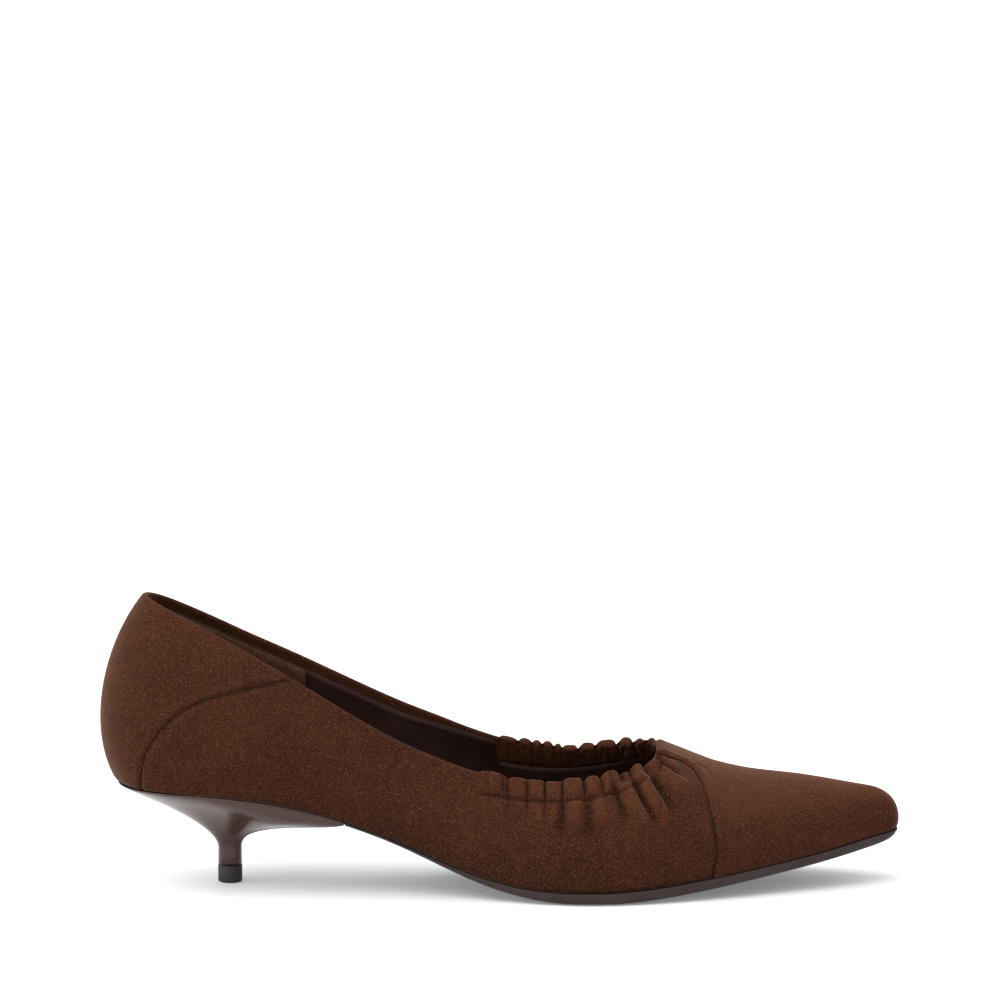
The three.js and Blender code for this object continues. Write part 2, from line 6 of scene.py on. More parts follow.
import bmesh
import bpy
import numpy as np
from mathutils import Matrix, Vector


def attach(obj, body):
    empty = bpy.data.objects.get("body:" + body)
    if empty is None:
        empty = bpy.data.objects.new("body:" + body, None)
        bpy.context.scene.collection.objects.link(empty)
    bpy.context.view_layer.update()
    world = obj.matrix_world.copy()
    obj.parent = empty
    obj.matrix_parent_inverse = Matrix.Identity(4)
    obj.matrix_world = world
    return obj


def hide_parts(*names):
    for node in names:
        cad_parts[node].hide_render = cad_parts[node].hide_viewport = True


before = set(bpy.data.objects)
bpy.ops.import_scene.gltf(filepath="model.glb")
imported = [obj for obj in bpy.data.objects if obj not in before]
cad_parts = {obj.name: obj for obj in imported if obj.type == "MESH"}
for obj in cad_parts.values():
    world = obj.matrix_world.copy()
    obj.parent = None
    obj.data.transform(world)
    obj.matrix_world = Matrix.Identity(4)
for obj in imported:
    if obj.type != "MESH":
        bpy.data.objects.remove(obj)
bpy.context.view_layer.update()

# The shoe's own sizes, in millimetres
LENGTH = 260.0
BALL_WIDTH = 75.0
SEAT_HEIGHT = 34.0
COLLAR_HEIGHT = 96.0
TREAD_AT = 0.62
CLEARANCE = 0.3
SUEDE = 1.1  # thickness of the suede
EDGE_ROLL = 0.9  # radius of the turned topline
FACING = 3.6  # suede strip that shows inside, above the lining
CASING_OUT = 6.9  # topline to the stitch line of the casing, outside
CASING_IN = 8.8  # and inside
LINING_FACE = -2.5  # lining's showing face, from the outside of the upper
LINING_BACK = -1.6
GRIP_FACE = -3.1
OVERLAY_PROUD = 0.45
DEEPEST = 1.5  # no trough goes further in, so that the lining stays covered
THINNEST = 0.3

LATERAL = -1
MEDIAL = 1

# The last, a row for each section from the back of the heel to the tip of the toe. at, crest, along the
# shoe; lateral, medial, spine, out, inward, across it; rise, share of the seat; crown, share of the collar.
Section = namedtuple("Section", "at lateral medial rise crest spine crown out inward lift reach drop")
SECTIONS = [
    Section(0.0215, 0.000, 0.000, 0.994, 0.1195, 0.000, 1.125, 0.178, 0.178, 0.286, 1.000, 0.135),
    Section(0.0340, 0.173, 0.173, 1.000, 0.1220, 0.000, 1.125, 0.158, 0.158, 0.290, 0.965, 0.140),
    Section(0.0650, 0.297, 0.297, 1.000, 0.1300, 0.000, 1.115, 0.120, 0.120, 0.300, 0.905, 0.150),
    Section(0.1230, 0.360, 0.355, 0.985, 0.1540, 0.000, 1.095, 0.085, 0.095, 0.320, 0.860, 0.160),
    Section(0.2000, 0.360, 0.327, 0.925, 0.2120, 0.007, 1.050, 0.080, 0.120, 0.340, 0.860, 0.160),
    Section(0.2850, 0.335, 0.250, 0.775, 0.2890, 0.015, 0.980, 0.100, 0.190, 0.350, 0.880, 0.150),
    Section(0.3730, 0.340, 0.215, 0.535, 0.3730, 0.022, 0.850, 0.110, 0.220, 0.360, 0.860, 0.120),
    Section(0.4580, 0.400, 0.285, 0.275, 0.4580, 0.030, 0.730, 0.085, 0.170, 0.380, 0.740, 0.080),
    Section(0.5350, 0.480, 0.400, 0.142, 0.5350, 0.037, 0.630, 0.050, 0.090, 0.400, 0.620, 0.030),
    Section(0.6080, 0.520, 0.473, 0.117, 0.6080, 0.043, 0.560, 0.035, 0.050, 0.460, 0.580, 0.000),
    Section(0.6770, 0.493, 0.487, 0.137, 0.6770, 0.048, 0.498, 0.035, 0.035, 0.520, 0.580, 0.000),
    Section(0.7460, 0.420, 0.440, 0.192, 0.7450, 0.052, 0.425, 0.040, 0.035, 0.560, 0.600, 0.000),
    Section(0.8120, 0.327, 0.367, 0.260, 0.8080, 0.053, 0.379, 0.040, 0.035, 0.580, 0.600, 0.000),
    Section(0.8730, 0.233, 0.300, 0.330, 0.8680, 0.053, 0.360, 0.040, 0.035, 0.600, 0.600, 0.000),
    Section(0.9270, 0.147, 0.233, 0.405, 0.9150, 0.053, 0.341, 0.035, 0.033, 0.610, 0.620, 0.010),
    Section(0.9670, 0.064, 0.168, 0.465, 0.9460, 0.053, 0.327, 0.030, 0.030, 0.620, 0.640, 0.030),
    Section(0.9915, 0.020, 0.127, 0.500, 0.9590, 0.053, 0.321, 0.024, 0.024, 0.620, 0.650, 0.045),
    Section(1.0000, -0.053, 0.053, 0.512, 0.9620, 0.053, 0.319, 0.022, 0.022, 0.620, 0.650, 0.050),
]
TIP = len(SECTIONS) - 1
ROUND = 2 * TIP

# The topline from the side: along the shoe, then its height on either side.
THROAT_AT = 0.7
Topline = namedtuple("Topline", "at lateral medial")
TOPLINE = [
    Topline(0.050, 1.003, 1.003),
    Topline(0.090, 0.962, 0.950),
    Topline(0.135, 0.905, 0.890),
    Topline(0.185, 0.833, 0.824),
    Topline(0.247, 0.737, 0.749),
    Topline(0.317, 0.622, 0.662),
    Topline(0.371, 0.540, 0.596),
    Topline(0.425, 0.477, 0.536),
    Topline(0.470, 0.435, 0.485),
    Topline(0.520, 0.410, 0.441),
    Topline(0.570, 0.400, 0.423),
    Topline(0.620, 0.405, 0.425),
    Topline(0.660, 0.420, 0.440),
    Topline(0.680, 0.431, 0.450),
    Topline(0.692, 0.440, 0.458),
]
CASING_AT = {LATERAL: 0.474, MEDIAL: 0.5}

# Seams from the side: height, then place along the shoe.
Seam = namedtuple("Seam", "up at")
TOE_SEAM = [
    Seam(-0.10, 0.755), Seam(0.08, 0.765), Seam(0.17, 0.771), Seam(0.25, 0.767), Seam(0.31, 0.7615),
    Seam(0.366, 0.754), Seam(0.404, 0.744), Seam(0.425, 0.7315), Seam(0.441, 0.717), Seam(0.452, 0.699),
    Seam(0.470, 0.6985), Seam(0.600, 0.700),
]
# The quarters run on under the toe piece as far as this line.
LAP_LINE = [
    Seam(-0.10, 0.768), Seam(0.10, 0.778), Seam(0.30, 0.777), Seam(0.40, 0.765), Seam(0.48, 0.752), Seam(0.60, 0.745),
]
LAP_SINKS = 1.2  # within so many millimetres of the seam the quarter has sunk under the toe piece
LAP_FACE = -1.2
LAP_BACK = -1.45
COUNTER_SEAM = [
    Seam(0.300, 0.055), Seam(0.380, 0.056), Seam(0.450, 0.060), Seam(0.522, 0.071),
    Seam(0.584, 0.088), Seam(0.631, 0.107), Seam(0.667, 0.131), Seam(0.688, 0.156),
    Seam(0.718, 0.205), Seam(0.738, 0.247), Seam(0.760, 0.290),
]

# Gathers of the casing, each from its back crease to the next one: x of the crease at the topline, notch and
# peak, how far the topline is lowered or raised at the crease and between creases, puff, how far the gather
# swells out, and flat, which squares its top.
Gather = namedtuple("Gather", "x notch peak puff flat")
GATHERS = {
    LATERAL: [
        Gather(123.4, 0.1, 1.2, 0.5, 2.5), Gather(133.0, -0.6, 0.6, 0.7, 2.5), Gather(139.3, 0.2, 0.4, 0.7, 5),
        Gather(144.8, -0.5, 0.2, 0.7, 6), Gather(150.5, 0.0, 1.3, 0.9, 4), Gather(157.2, -0.5, 1.4, 1.1, 2.2),
        Gather(162.6, 0.3, 2.2, 1.1, 2), Gather(168.9, -0.2, 0.6, 0.3, 2), Gather(171.9, 0.1, 1.9, 1.3, 2),
        Gather(176.6, -0.1, 1.2, 0.9, 2), Gather(182.5, 0.0, 0.0, 0.0, 2),
    ],
    MEDIAL: [
        Gather(130.0, 0.3, 0.9, 0.5, 2.5), Gather(136.4, 0.3, 1.3, 0.8, 2), Gather(141.0, 0.5, 1.1, 0.8, 2),
        Gather(144.2, 0.3, 1.0, 0.9, 2), Gather(148.1, -0.2, 0.4, 0.7, 2), Gather(150.9, -0.6, -0.1, 0.7, 4),
        Gather(156.2, -1.0, 0.5, 0.9, 2.2), Gather(161.9, 0.0, 1.0, 1.0, 3), Gather(168.8, -0.3, 1.2, 1.1, 2),
        Gather(174.2, -0.1, 0.8, 1.0, 2), Gather(177.8, 0.4, 1.1, 1.2, 2), Gather(182.5, -0.3, 0.0, 0.0, 2),
    ],
}
CASING_RUNS_OUT = {"from": 174.5, "to": 179.0}  # in front of the last gathers the casing lies flat
# Wrinkles of the casing's inside between its gathers: x, how deep, how wide.
Wrinkle = namedtuple("Wrinkle", "x deep wide")
WRINKLES = {
    LATERAL: [Wrinkle(128.0, 0.5, 0.5), Wrinkle(136.2, 0.4, 0.4), Wrinkle(147.9, 0.5, 0.4), Wrinkle(154.0, 0.5, 0.5),
              Wrinkle(165.4, 0.6, 0.5), Wrinkle(174.0, 0.4, 0.4)],
    MEDIAL: [Wrinkle(133.3, 0.7, 0.5), Wrinkle(138.4, 0.5, 0.4), Wrinkle(142.9, 0.4, 0.3), Wrinkle(153.0, 0.8, 0.4),
             Wrinkle(154.6, 0.5, 0.3), Wrinkle(158.6, 0.6, 0.4), Wrinkle(164.4, 0.7, 0.5), Wrinkle(166.4, 0.5, 0.3),
             Wrinkle(171.6, 0.7, 0.4), Wrinkle(175.6, 0.5, 0.3)],
}
GATHER_LEAN = {"from": 150.0, "over": 27.0, "by": 2.4}  # gathers lean to the toe more and more near the throat

# Folds and creases outside: the path seen from the side as x and z points, how high it stands, below zero
# for a trough, and how wide it is.
Fold = namedtuple("Fold", "path high width")
FOLDS = {
    LATERAL: [
        Fold([(126.3, 41.5), (126.6, 33.5)], -0.6, 0.9), Fold([(131.3, 40.5), (131.8, 33.5)], -0.55, 0.9),
        Fold([(139.4, 40.5), (139.9, 33.0)], -0.25, 0.6), Fold([(144.8, 40.0), (145.2, 32.0)], -1.0, 0.5),
        Fold([(150.6, 40.0), (150.3, 32.5)], -0.3, 0.7), Fold([(156.8, 40.5), (158.9, 33.3)], -0.9, 0.8),
        Fold([(162.3, 41.0), (163.5, 34.0)], -0.45, 0.6), Fold([(165.6, 39.6), (167.5, 34.0)], -0.9, 0.8),
        Fold([(168.7, 42.5), (169.7, 38.9), (172.8, 36.4)], -1.0, 0.8),
        Fold([(171.2, 43.5), (172.9, 39.3), (173.9, 36.8)], -1.2, 0.8),
        Fold([(175.8, 43.5), (178.1, 39.2), (179.4, 37.8)], -1.0, 0.8),
        Fold([(140.3, 32.8), (140.3, 27.5)], -0.35, 1.2), Fold([(146.4, 32.4), (146.1, 27.0)], -0.5, 1.1),
        Fold([(150.4, 33.0), (150.3, 20.5)], -1.1, 1.3), Fold([(159.3, 34.5), (158.9, 19.5)], -1.1, 1.4),
        Fold([(135.3, 33.0), (135.3, 23.5)], -0.3, 1.8), Fold([(127.5, 34.0), (127.2, 25.0)], -0.25, 1.6),
        Fold([(166.6, 37.2), (167.9, 33.8), (170.2, 28.6), (171.8, 24.5)], -1.6, 1.1),
        Fold([(173.0, 38.0), (175.4, 33.5), (177.5, 30.2), (180.1, 26.6), (182.4, 23.0)], -2.4, 1.2),
        Fold([(178.4, 39.2), (181.3, 35.9), (183.5, 32.9), (185.1, 29.8), (186.6, 26.0)], -1.9, 1.3),
        Fold([(169.2, 38.0), (173.8, 32.7), (177.9, 27.3), (180.4, 23.0)], 1.5, 2.3),
        Fold([(175.6, 39.8), (179.3, 33.8), (182.4, 28.8), (185.0, 24.0)], 1.7, 2.3),
        Fold([(177.6, 42.6), (181.5, 40.4), (185.4, 38.2), (194.0, 32.5)], 1.7, 2.8),
        Fold([(180.6, 43.4), (184.2, 41.7), (189.0, 39.0)], 1.5, 1.7),
        Fold([(180.0, 42.9), (184.4, 40.4), (191.0, 36.6)], -1.6, 0.9),
        Fold([(154.6, 33.6), (154.8, 23.0)], 0.75, 2.3), Fold([(163.0, 35.0), (164.2, 23.5)], 0.8, 2.1),
    ],
    MEDIAL: [
        Fold([(136.4, 43.0), (136.6, 34.5)], -0.7, 0.8), Fold([(141.0, 42.5), (141.4, 34.0)], -0.6, 0.7),
        Fold([(144.2, 42.0), (144.8, 33.5)], -0.7, 0.8), Fold([(148.1, 42.0), (148.8, 33.5)], -0.8, 0.8),
        Fold([(150.9, 42.0), (151.9, 33.8)], -0.5, 0.7), Fold([(156.2, 42.0), (157.6, 34.5)], -0.9, 0.9),
        Fold([(161.9, 42.5), (163.4, 35.5)], -0.6, 0.7), Fold([(168.8, 43.5), (171.6, 37.0)], -1.1, 0.8),
        Fold([(174.0, 44.5), (177.4, 38.6)], -1.1, 0.8), Fold([(177.6, 45.0), (182.0, 39.8)], -1.0, 0.9),
        Fold([(137.0, 34.5), (136.8, 27.0)], -0.4, 1.3), Fold([(145.0, 33.8), (145.2, 24.5)], -0.6, 1.4),
        Fold([(152.2, 34.0), (152.6, 26.0)], -0.45, 1.3), Fold([(158.0, 34.5), (159.4, 22.5)], -0.65, 1.6),
        Fold([(164.0, 35.5), (166.2, 27.5)], -0.6, 1.3),
        Fold([(171.4, 37.6), (174.4, 32.4), (177.2, 27.0)], -1.5, 1.3),
        Fold([(177.0, 39.4), (180.8, 34.2), (184.6, 27.6)], -1.9, 1.4),
        Fold([(181.6, 40.4), (185.2, 37.0), (189.4, 31.6)], -1.1, 1.4),
        Fold([(168.6, 37.0), (170.8, 32.0), (172.6, 27.5)], 0.5, 2.0),
        Fold([(174.0, 39.0), (177.6, 33.0), (181.0, 27.0)], 1.4, 2.2),
        Fold([(180.2, 40.6), (184.0, 35.6), (187.6, 30.0)], 1.4, 2.3),
        Fold([(148.4, 33.4), (148.8, 25.0)], 0.3, 2.2), Fold([(155.0, 34.0), (155.8, 25.5)], 0.3, 2.2),
    ],
}


def smooth(value):
    value = np.clip(value, 0, 1)
    return value * value * (3 - 2 * value)


def mix(a, b, share):
    return a + (b - a) * share


def bell(distance, width):
    return np.exp(-((distance / width) ** 2))


def ring(values):
    """A smooth closed curve through the values, as a function of the place round the last."""
    count = len(values)
    values = np.array(values, float)
    system = np.eye(count) * 4 + np.roll(np.eye(count), 1, 0) + np.roll(np.eye(count), -1, 0)
    slopes = np.linalg.solve(system, 3 * (np.roll(values, -1) - np.roll(values, 1)))

    def at(place):
        i = np.floor(place).astype(int)
        f = place - i
        g = 1 - f
        a, b = i % count, (i + 1) % count
        return (values[a] * (1 + 2 * f) * g * g + slopes[a] * f * g * g
                + values[b] * f * f * (3 - 2 * f) - slopes[b] * f * f * g)

    return at


def line_through(keys, values):
    """A smooth curve through a short table, straight on past its ends."""
    keys, values = np.array(keys, float), np.array(values, float)
    after = np.append(np.arange(1, len(keys)), len(keys) - 1)
    before = np.append(0, np.arange(len(keys) - 1))
    slopes = (values[after] - values[before]) / (keys[after] - keys[before])

    def at(key):
        key = np.asarray(key, float)
        i = np.clip(np.searchsorted(keys, key) - 1, 0, len(keys) - 2)
        span = keys[i + 1] - keys[i]
        raw = (key - keys[i]) / span
        f = np.clip(raw, 0, 1)
        g = 1 - f
        inside = (values[i] * (1 + 2 * f) * g * g + slopes[i] * span * f * g * g
                  + values[i + 1] * f * f * (3 - 2 * f) - slopes[i + 1] * span * f * f * g)
        past = np.where(raw < 0, slopes[i] * raw * span, slopes[i + 1] * (raw - 1) * span)
        return inside + np.where((raw < 0) | (raw > 1), past, 0)

    return at


def both_sides(column, other=None):
    """Values of a column round the last: lateral side forward, medial side back."""
    forward = [getattr(s, column) for s in SECTIONS]
    back = [getattr(s, other or column) for s in SECTIONS]
    return forward + back[-2:0:-1]


def across_values():
    forward = [-s.lateral for s in SECTIONS]
    back = [s.medial for s in SECTIONS]
    return forward + back[-2:0:-1]


foot_x = ring(np.array(both_sides("at")) * LENGTH)
foot_y = ring(np.array(across_values()) * BALL_WIDTH)
foot_z = ring(np.array(both_sides("rise")) * SEAT_HEIGHT)
crest_x = ring(np.array(both_sides("crest")) * LENGTH)
crest_y = ring(np.array(both_sides("spine")) * BALL_WIDTH)
crest_z = ring(np.array(both_sides("crown")) * COLLAR_HEIGHT)
belly = ring(np.array(both_sides("out", "inward")) * BALL_WIDTH)
lift = ring(both_sides("lift"))
reach = ring(both_sides("reach"))
drop = ring(both_sides("drop"))


def rib(place, share):
    """Points of the upper's outside: place round the last, share of the way from feather edge to crest."""
    foot = np.stack([foot_x(place), foot_y(place), foot_z(place)], -1)
    crest = np.stack([crest_x(place), crest_y(place), crest_z(place)], -1)
    outward = foot - crest
    outward[..., 2] = 0
    width = np.linalg.norm(outward, axis=-1)
    outward /= width[..., None]
    height = crest[..., 2] - foot[..., 2]
    low = foot + outward * belly(place)[..., None]
    low[..., 2] += lift(place) * height
    high = crest + outward * (reach(place) * width)[..., None]
    high[..., 2] -= drop(place) * height
    t = share[..., None]
    u = 1 - t
    return foot * u**3 + low * 3 * t * u * u + high * 3 * t * t * u + crest * t**3


def outward_normal(place, share):
    step, rise = 0.02, 0.01
    along = rib(place + step, share) - rib(place - step, share)
    up = rib(place, np.minimum(share + rise, 1)) - rib(place, np.minimum(share + rise, 1) - 2 * rise)
    normal = np.cross(along, up)
    return normal / np.linalg.norm(normal, axis=-1)[..., None]


def section_where(value_at, limit):
    """Section at which a value that grows from heel to toe reaches the limit."""
    limit = np.asarray(limit, float)
    low, high = np.zeros_like(limit), np.full_like(limit, TIP)
    for _ in range(40):
        middle = (low + high) / 2
        short = value_at(middle) < limit
        low, high = np.where(short, middle, low), np.where(short, high, middle)
    return high


THROAT = float(section_where(crest_x, THROAT_AT * LENGTH))


def place_of(section, side):
    return section if side == LATERAL else ROUND - section


def side_of(place):
    return np.where(np.mod(place, ROUND) <= TIP, LATERAL, MEDIAL)


def topline_height(side):
    throat_share = float(crest_z(np.array(THROAT))) / COLLAR_HEIGHT
    heights = [row.lateral if side == LATERAL else row.medial for row in TOPLINE]
    return line_through([row.at for row in TOPLINE] + [THROAT_AT], heights + [throat_share])


TOPLINE_HEIGHT = {side: topline_height(side) for side in (LATERAL, MEDIAL)}


def find_top_share(place):
    """How far up its rib the topline lies."""
    section = np.minimum(np.mod(place, ROUND), ROUND - np.mod(place, ROUND))
    low, high = np.full_like(place, 0.15), np.ones_like(place)
    for _ in range(40):
        middle = (low + high) / 2
        p = rib(place, middle)
        x = p[..., 0] / LENGTH
        medial = (side_of(place) == MEDIAL) & (section > 0)
        top = np.where(medial, TOPLINE_HEIGHT[MEDIAL](x), TOPLINE_HEIGHT[LATERAL](x)) * COLLAR_HEIGHT
        below = p[..., 2] < top
        low, high = np.where(below, middle, low), np.where(below, high, middle)
    return np.where(section >= THROAT, 1.0, high)


# Tables of the last, worked out once: the topline's share, lengths up the ribs and round the feather edge
PLACES = np.linspace(0, ROUND, 1361)
TOP_SHARES = find_top_share(PLACES)
TOP_X = rib(PLACES, TOP_SHARES)[:, 0]
SHARES = np.linspace(0, 1, 81)
RIB_POINTS = rib(PLACES[:, None] + 0 * SHARES[None, :], SHARES[None, :] + 0 * PLACES[:, None])


def run_length(points, axis):
    """Length so far along lines of points."""
    steps = np.linalg.norm(np.diff(points, axis=axis), axis=-1)
    start = np.zeros_like(np.take(steps, [0], axis=axis))
    return np.concatenate([start, np.cumsum(steps, axis=axis)], axis=axis)


RIB_LENGTHS = run_length(RIB_POINTS, 1)
FEATHER = run_length(RIB_POINTS[:, 0], 0)
FRACTIONS = np.linspace(0, 1, 161)
SHARES_AT = np.array([np.interp(FRACTIONS * run[-1], run, SHARES) for run in RIB_LENGTHS])


def look_up(table, place, across):
    """A value between the rows and columns of a table over places and a share across."""
    row = np.mod(place, ROUND) / ROUND * (len(table) - 1)
    column = np.clip(across, 0, 1) * (table.shape[1] - 1)
    i = np.minimum(row.astype(int), len(table) - 2)
    j = np.minimum(column.astype(int), table.shape[1] - 2)
    f, g = row - i, column - j
    low = mix(table[i, j], table[i + 1, j], f)
    high = mix(table[i, j + 1], table[i + 1, j + 1], f)
    return mix(low, high, g)


def top_share(place):
    return np.interp(np.mod(place, ROUND), PLACES, TOP_SHARES)


def top_x(place):
    return np.interp(np.mod(place, ROUND), PLACES, TOP_X)


def rib_length(place, share):
    """Millimetres up the rib from the feather edge."""
    return look_up(RIB_LENGTHS, place, share)


def share_at(place, length):
    """The share at so many millimetres up the rib."""
    return look_up(SHARES_AT, place, length / np.interp(np.mod(place, ROUND), PLACES, RIB_LENGTHS[:, -1]))


def share_below_top(place, down):
    return share_at(place, rib_length(place, top_share(place)) - down)


def along_feather(place):
    turns = np.floor(place / ROUND)
    return np.interp(place - turns * ROUND, PLACES, FEATHER) + turns * FEATHER[-1]


def place_along(length):
    turns = np.floor(length / FEATHER[-1])
    return np.interp(length - turns * FEATHER[-1], FEATHER, PLACES) + turns * ROUND


def on_upper(x, z, side):
    """The point of the upper that shows at x and z from one side."""
    low, high = 0.0, float(TIP)
    for _ in range(30):
        section = (low + high) / 2
        place = np.full(81, place_of(section, side))
        points = rib(place, SHARES)
        at = [np.interp(z, points[:, 2], points[:, k]) for k in range(3)]
        if at[0] < x:
            low = section
        else:
            high = section
    return np.array(at)


def nearest(points, path):
    """Distance of each point from a path, and how far along it, zero to one, the nearest place lies."""
    path = np.asarray(path)
    runs = run_length(path, 0)
    best = np.full(points.shape[:-1], 1e9)
    along = np.zeros_like(best)
    for a, b, start, end in zip(path[:-1], path[1:], runs[:-1], runs[1:]):
        step = b - a
        share = np.clip((points - a) @ step / max(step @ step, 1e-12), 0, 1)
        distance = np.linalg.norm(points - (a + share[..., None] * step), axis=-1)
        closer = distance < best
        best = np.where(closer, distance, best)
        along = np.where(closer, mix(start, end, share) / runs[-1], along)
    return best, along


toe_seam_x = line_through([s.up for s in TOE_SEAM], [s.at for s in TOE_SEAM])
lap_line_x = line_through([s.up for s in LAP_LINE], [s.at for s in LAP_LINE])
counter_seam_x = line_through([s.up for s in COUNTER_SEAM], [s.at for s in COUNTER_SEAM])
TOE_SEAM_HEIGHTS = np.linspace(0.07, 0.474, 60)
TOE_SEAM_PATHS = {side: np.array([on_upper(float(toe_seam_x(up)) * LENGTH, up * COLLAR_HEIGHT, side)
                                  for up in TOE_SEAM_HEIGHTS]) for side in (LATERAL, MEDIAL)}


def seam_places(seam_x, side, share_of, count):
    """Where the rows of the upper cross a seam, as places round the last."""
    low, high = np.zeros(count), np.full(count, float(TIP))
    for _ in range(36):
        middle = (low + high) / 2
        place = place_of(middle, side)
        points = rib(place, share_of(place))
        behind = points[:, 0] < seam_x(points[:, 2] / COLLAR_HEIGHT) * LENGTH
        low, high = np.where(behind, middle, low), np.where(behind, high, middle)
    return place_of((low + high) / 2, side)


# Relief of the gathers
def gathered(side, x):
    """One along the gathers, fading at their back end."""
    start = GATHERS[side][0].x
    return smooth((x - start + 0.5) / 2.0)


def gather_at(side, x, down=0.0):
    """For the gathered fold at x: its arch, from zero in a crease to one in the middle, its puff, and the topline's
    rise.
    """
    lean = GATHER_LEAN["by"] * smooth((x - GATHER_LEAN["from"]) / GATHER_LEAN["over"])
    x = x - lean * np.clip(down, 0, 12) / CASING_OUT
    arch, puff, rise = np.zeros_like(x), np.zeros_like(x), np.zeros_like(x)
    rows = GATHERS[side]
    for this, after in zip(rows[:-1], rows[1:]):
        share = np.clip((x - this.x) / (after.x - this.x), 0, 1)
        bow = 1 - np.abs(2 * share - 1) ** this.flat
        ground = mix(this.notch, after.notch, share)
        inside = (x >= this.x) & (x < after.x)
        arch = np.where(inside, bow, arch)
        puff = np.where(inside, this.puff, puff)
        rise = np.where(inside, ground + (this.peak - ground) * bow**0.8, rise)
    return arch, puff, rise


def casing_relief(side, x, down, depth):
    """The puffed casing, its stitch line, and the tops of the folds under it."""
    arch, puff, _ = gather_at(side, x, down)
    across = np.clip((down + 1.5) / (depth + 1.5), 0, 1)
    swell = puff * arch**0.6 * np.sin(np.pi * across) ** 0.7 * (down < depth)
    pinched = -0.6 * (1 - arch) ** 2 * smooth((depth + 5 - down) / 6)
    below = 0.5 * arch**0.7 * smooth((down - depth) / 1.2) * (1 - smooth((down - depth - 1) / 10))
    stitched = -0.48 * bell(down - depth, 0.6)
    run = CASING_RUNS_OUT["to"] - CASING_RUNS_OUT["from"]
    ends = 1 - smooth((x - CASING_RUNS_OUT["from"]) / run)
    return gathered(side, x) * ends * (swell + pinched + below + stitched)


def wrinkled(side, x, down):
    """Small creases of the casing's inside, each a little slanted."""
    height = np.zeros_like(x)
    for k, row in enumerate(WRINKLES[side]):
        slant = (0.14 if k % 2 else -0.1) * (down - 4)
        height -= row.deep * bell(x - row.x - slant, row.wide)
    return height * smooth(down / 1.5) * smooth((CASING_IN - down) / 2)


def fold_relief(side, points):
    """Creases, troughs and ridges of the outside."""
    height = np.zeros(points.shape[:-1])
    for fold in FOLDS[side]:
        path = [on_upper(x, z, side) for x, z in fold.path]
        distance, along = nearest(points, path)
        fade = smooth(along / 0.15) * smooth((1 - along) / 0.45)
        height += fold.high * fade * np.exp(-((distance / (fold.width * mix(0.85, 1.35, along))) ** 2))
    return height


def held(relief):
    """Relief with its deep troughs eased off before they reach the lining."""
    start = 0.6 * DEEPEST
    rest = DEEPEST - start
    return np.where(relief < -start, -start - rest * np.tanh((-relief - start) / rest), relief)


def turned_edge(distance, swell, wide=0.5):
    """A stitched and turned seam: the suede rolls down into it, with a low swell beside it."""
    return -0.8 * np.exp(-distance / wide) + swell * bell(distance - 1.7, 1.2)


TOE_SEAM_SHADE = 1.3
PAINTED_EDGE_LIGHT = 0.2  # painted highlight: the toe piece's raised edge is no lighter than this
COUNTER_SEAM_SHADE = 0.5
LOW_SHADE = {"deep": 0.4, "from": 4.0, "over": 36.0}


def low_shade(height):
    """Painted shade: the lower sides are a little darker, as they face down and away from the light."""
    return -LOW_SHADE["deep"] * (1 - smooth((height - LOW_SHADE["from"]) / LOW_SHADE["over"]))


def seam_shade(distance, deep):
    """Painted shade in a seam, as a darker nap."""
    return -deep * np.exp(-distance / 0.7)


# Mesh making
def to_scene(points):
    moved = np.asarray(points, float).reshape(-1, 3) - np.array([TREAD_AT * LENGTH, 0, 0])
    return moved * 0.001


def grid_faces(rows, columns, closed=False, start=0):
    i = np.arange(rows if closed else rows - 1)
    j = np.arange(columns - 1)
    i, j = np.meshgrid(i, j, indexing="ij")
    k = (i + 1) % rows
    quads = np.stack([i * columns + j, i * columns + j + 1, k * columns + j + 1, k * columns + j], -1)
    return (quads.reshape(-1, 4) + start).tolist()


def make_piece(name, points, faces, material, replaces=(), values=None, weld=0.0):
    mesh = bpy.data.meshes.new(name)
    mesh.from_pydata(to_scene(points).tolist(), [], faces)
    # Painted light and shade for the suede's colour, one value a point: shade in creases and seams, light on ridges
    if values is not None:
        layer = mesh.attributes.new("painted_light_shade", "FLOAT", "POINT")
        layer.data.foreach_set("value", np.asarray(values, np.float32).ravel())
    mesh.polygons.foreach_set("use_smooth", [True] * len(mesh.polygons))
    mesh.materials.append(material)
    piece = bpy.data.objects.new(name, mesh)
    bpy.context.collection.objects.link(piece)
    if weld:
        bm = bmesh.new()
        bm.from_mesh(mesh)
        bmesh.ops.remove_doubles(bm, verts=bm.verts, dist=weld * 0.001)
        bmesh.ops.recalc_face_normals(bm, faces=bm.faces)
        bm.to_mesh(mesh)
        bm.free()
    mesh.validate()
    mesh.update()
    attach(piece, "root")
    if replaces:
        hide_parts(*replaces)
    return piece


# Materials
def socket(tree, value, target):
    if isinstance(value, bpy.types.NodeSocket):
        tree.links.new(value, target)
    else:
        target.default_value = value


def add(tree, kind, inputs=None, **settings):
    node = tree.nodes.new(kind)
    for key, value in settings.items():
        setattr(node, key, value)
    for key, value in (inputs or {}).items():
        socket(tree, value, node.inputs[key])
    return node


def colour(red, green, blue):
    """A colour from its display values, 0 to 255."""
    def linear(c):
        c /= 255
        return c / 12.92 if c <= 0.04045 else ((c + 0.055) / 1.055) ** 2.4
    return (linear(red), linear(green), linear(blue), 1.0)


def noise(tree, where, scale, detail=2.0, roughness=0.5):
    return add(tree, "ShaderNodeTexNoise",
               {"Vector": where, "Scale": scale, "Detail": detail, "Roughness": roughness}).outputs["Fac"]


def remap(tree, value, low, high, to_low=0.0, to_high=1.0):
    return add(tree, "ShaderNodeMapRange",
               {"Value": value, "From Min": low, "From Max": high, "To Min": to_low, "To Max": to_high}).outputs[0]


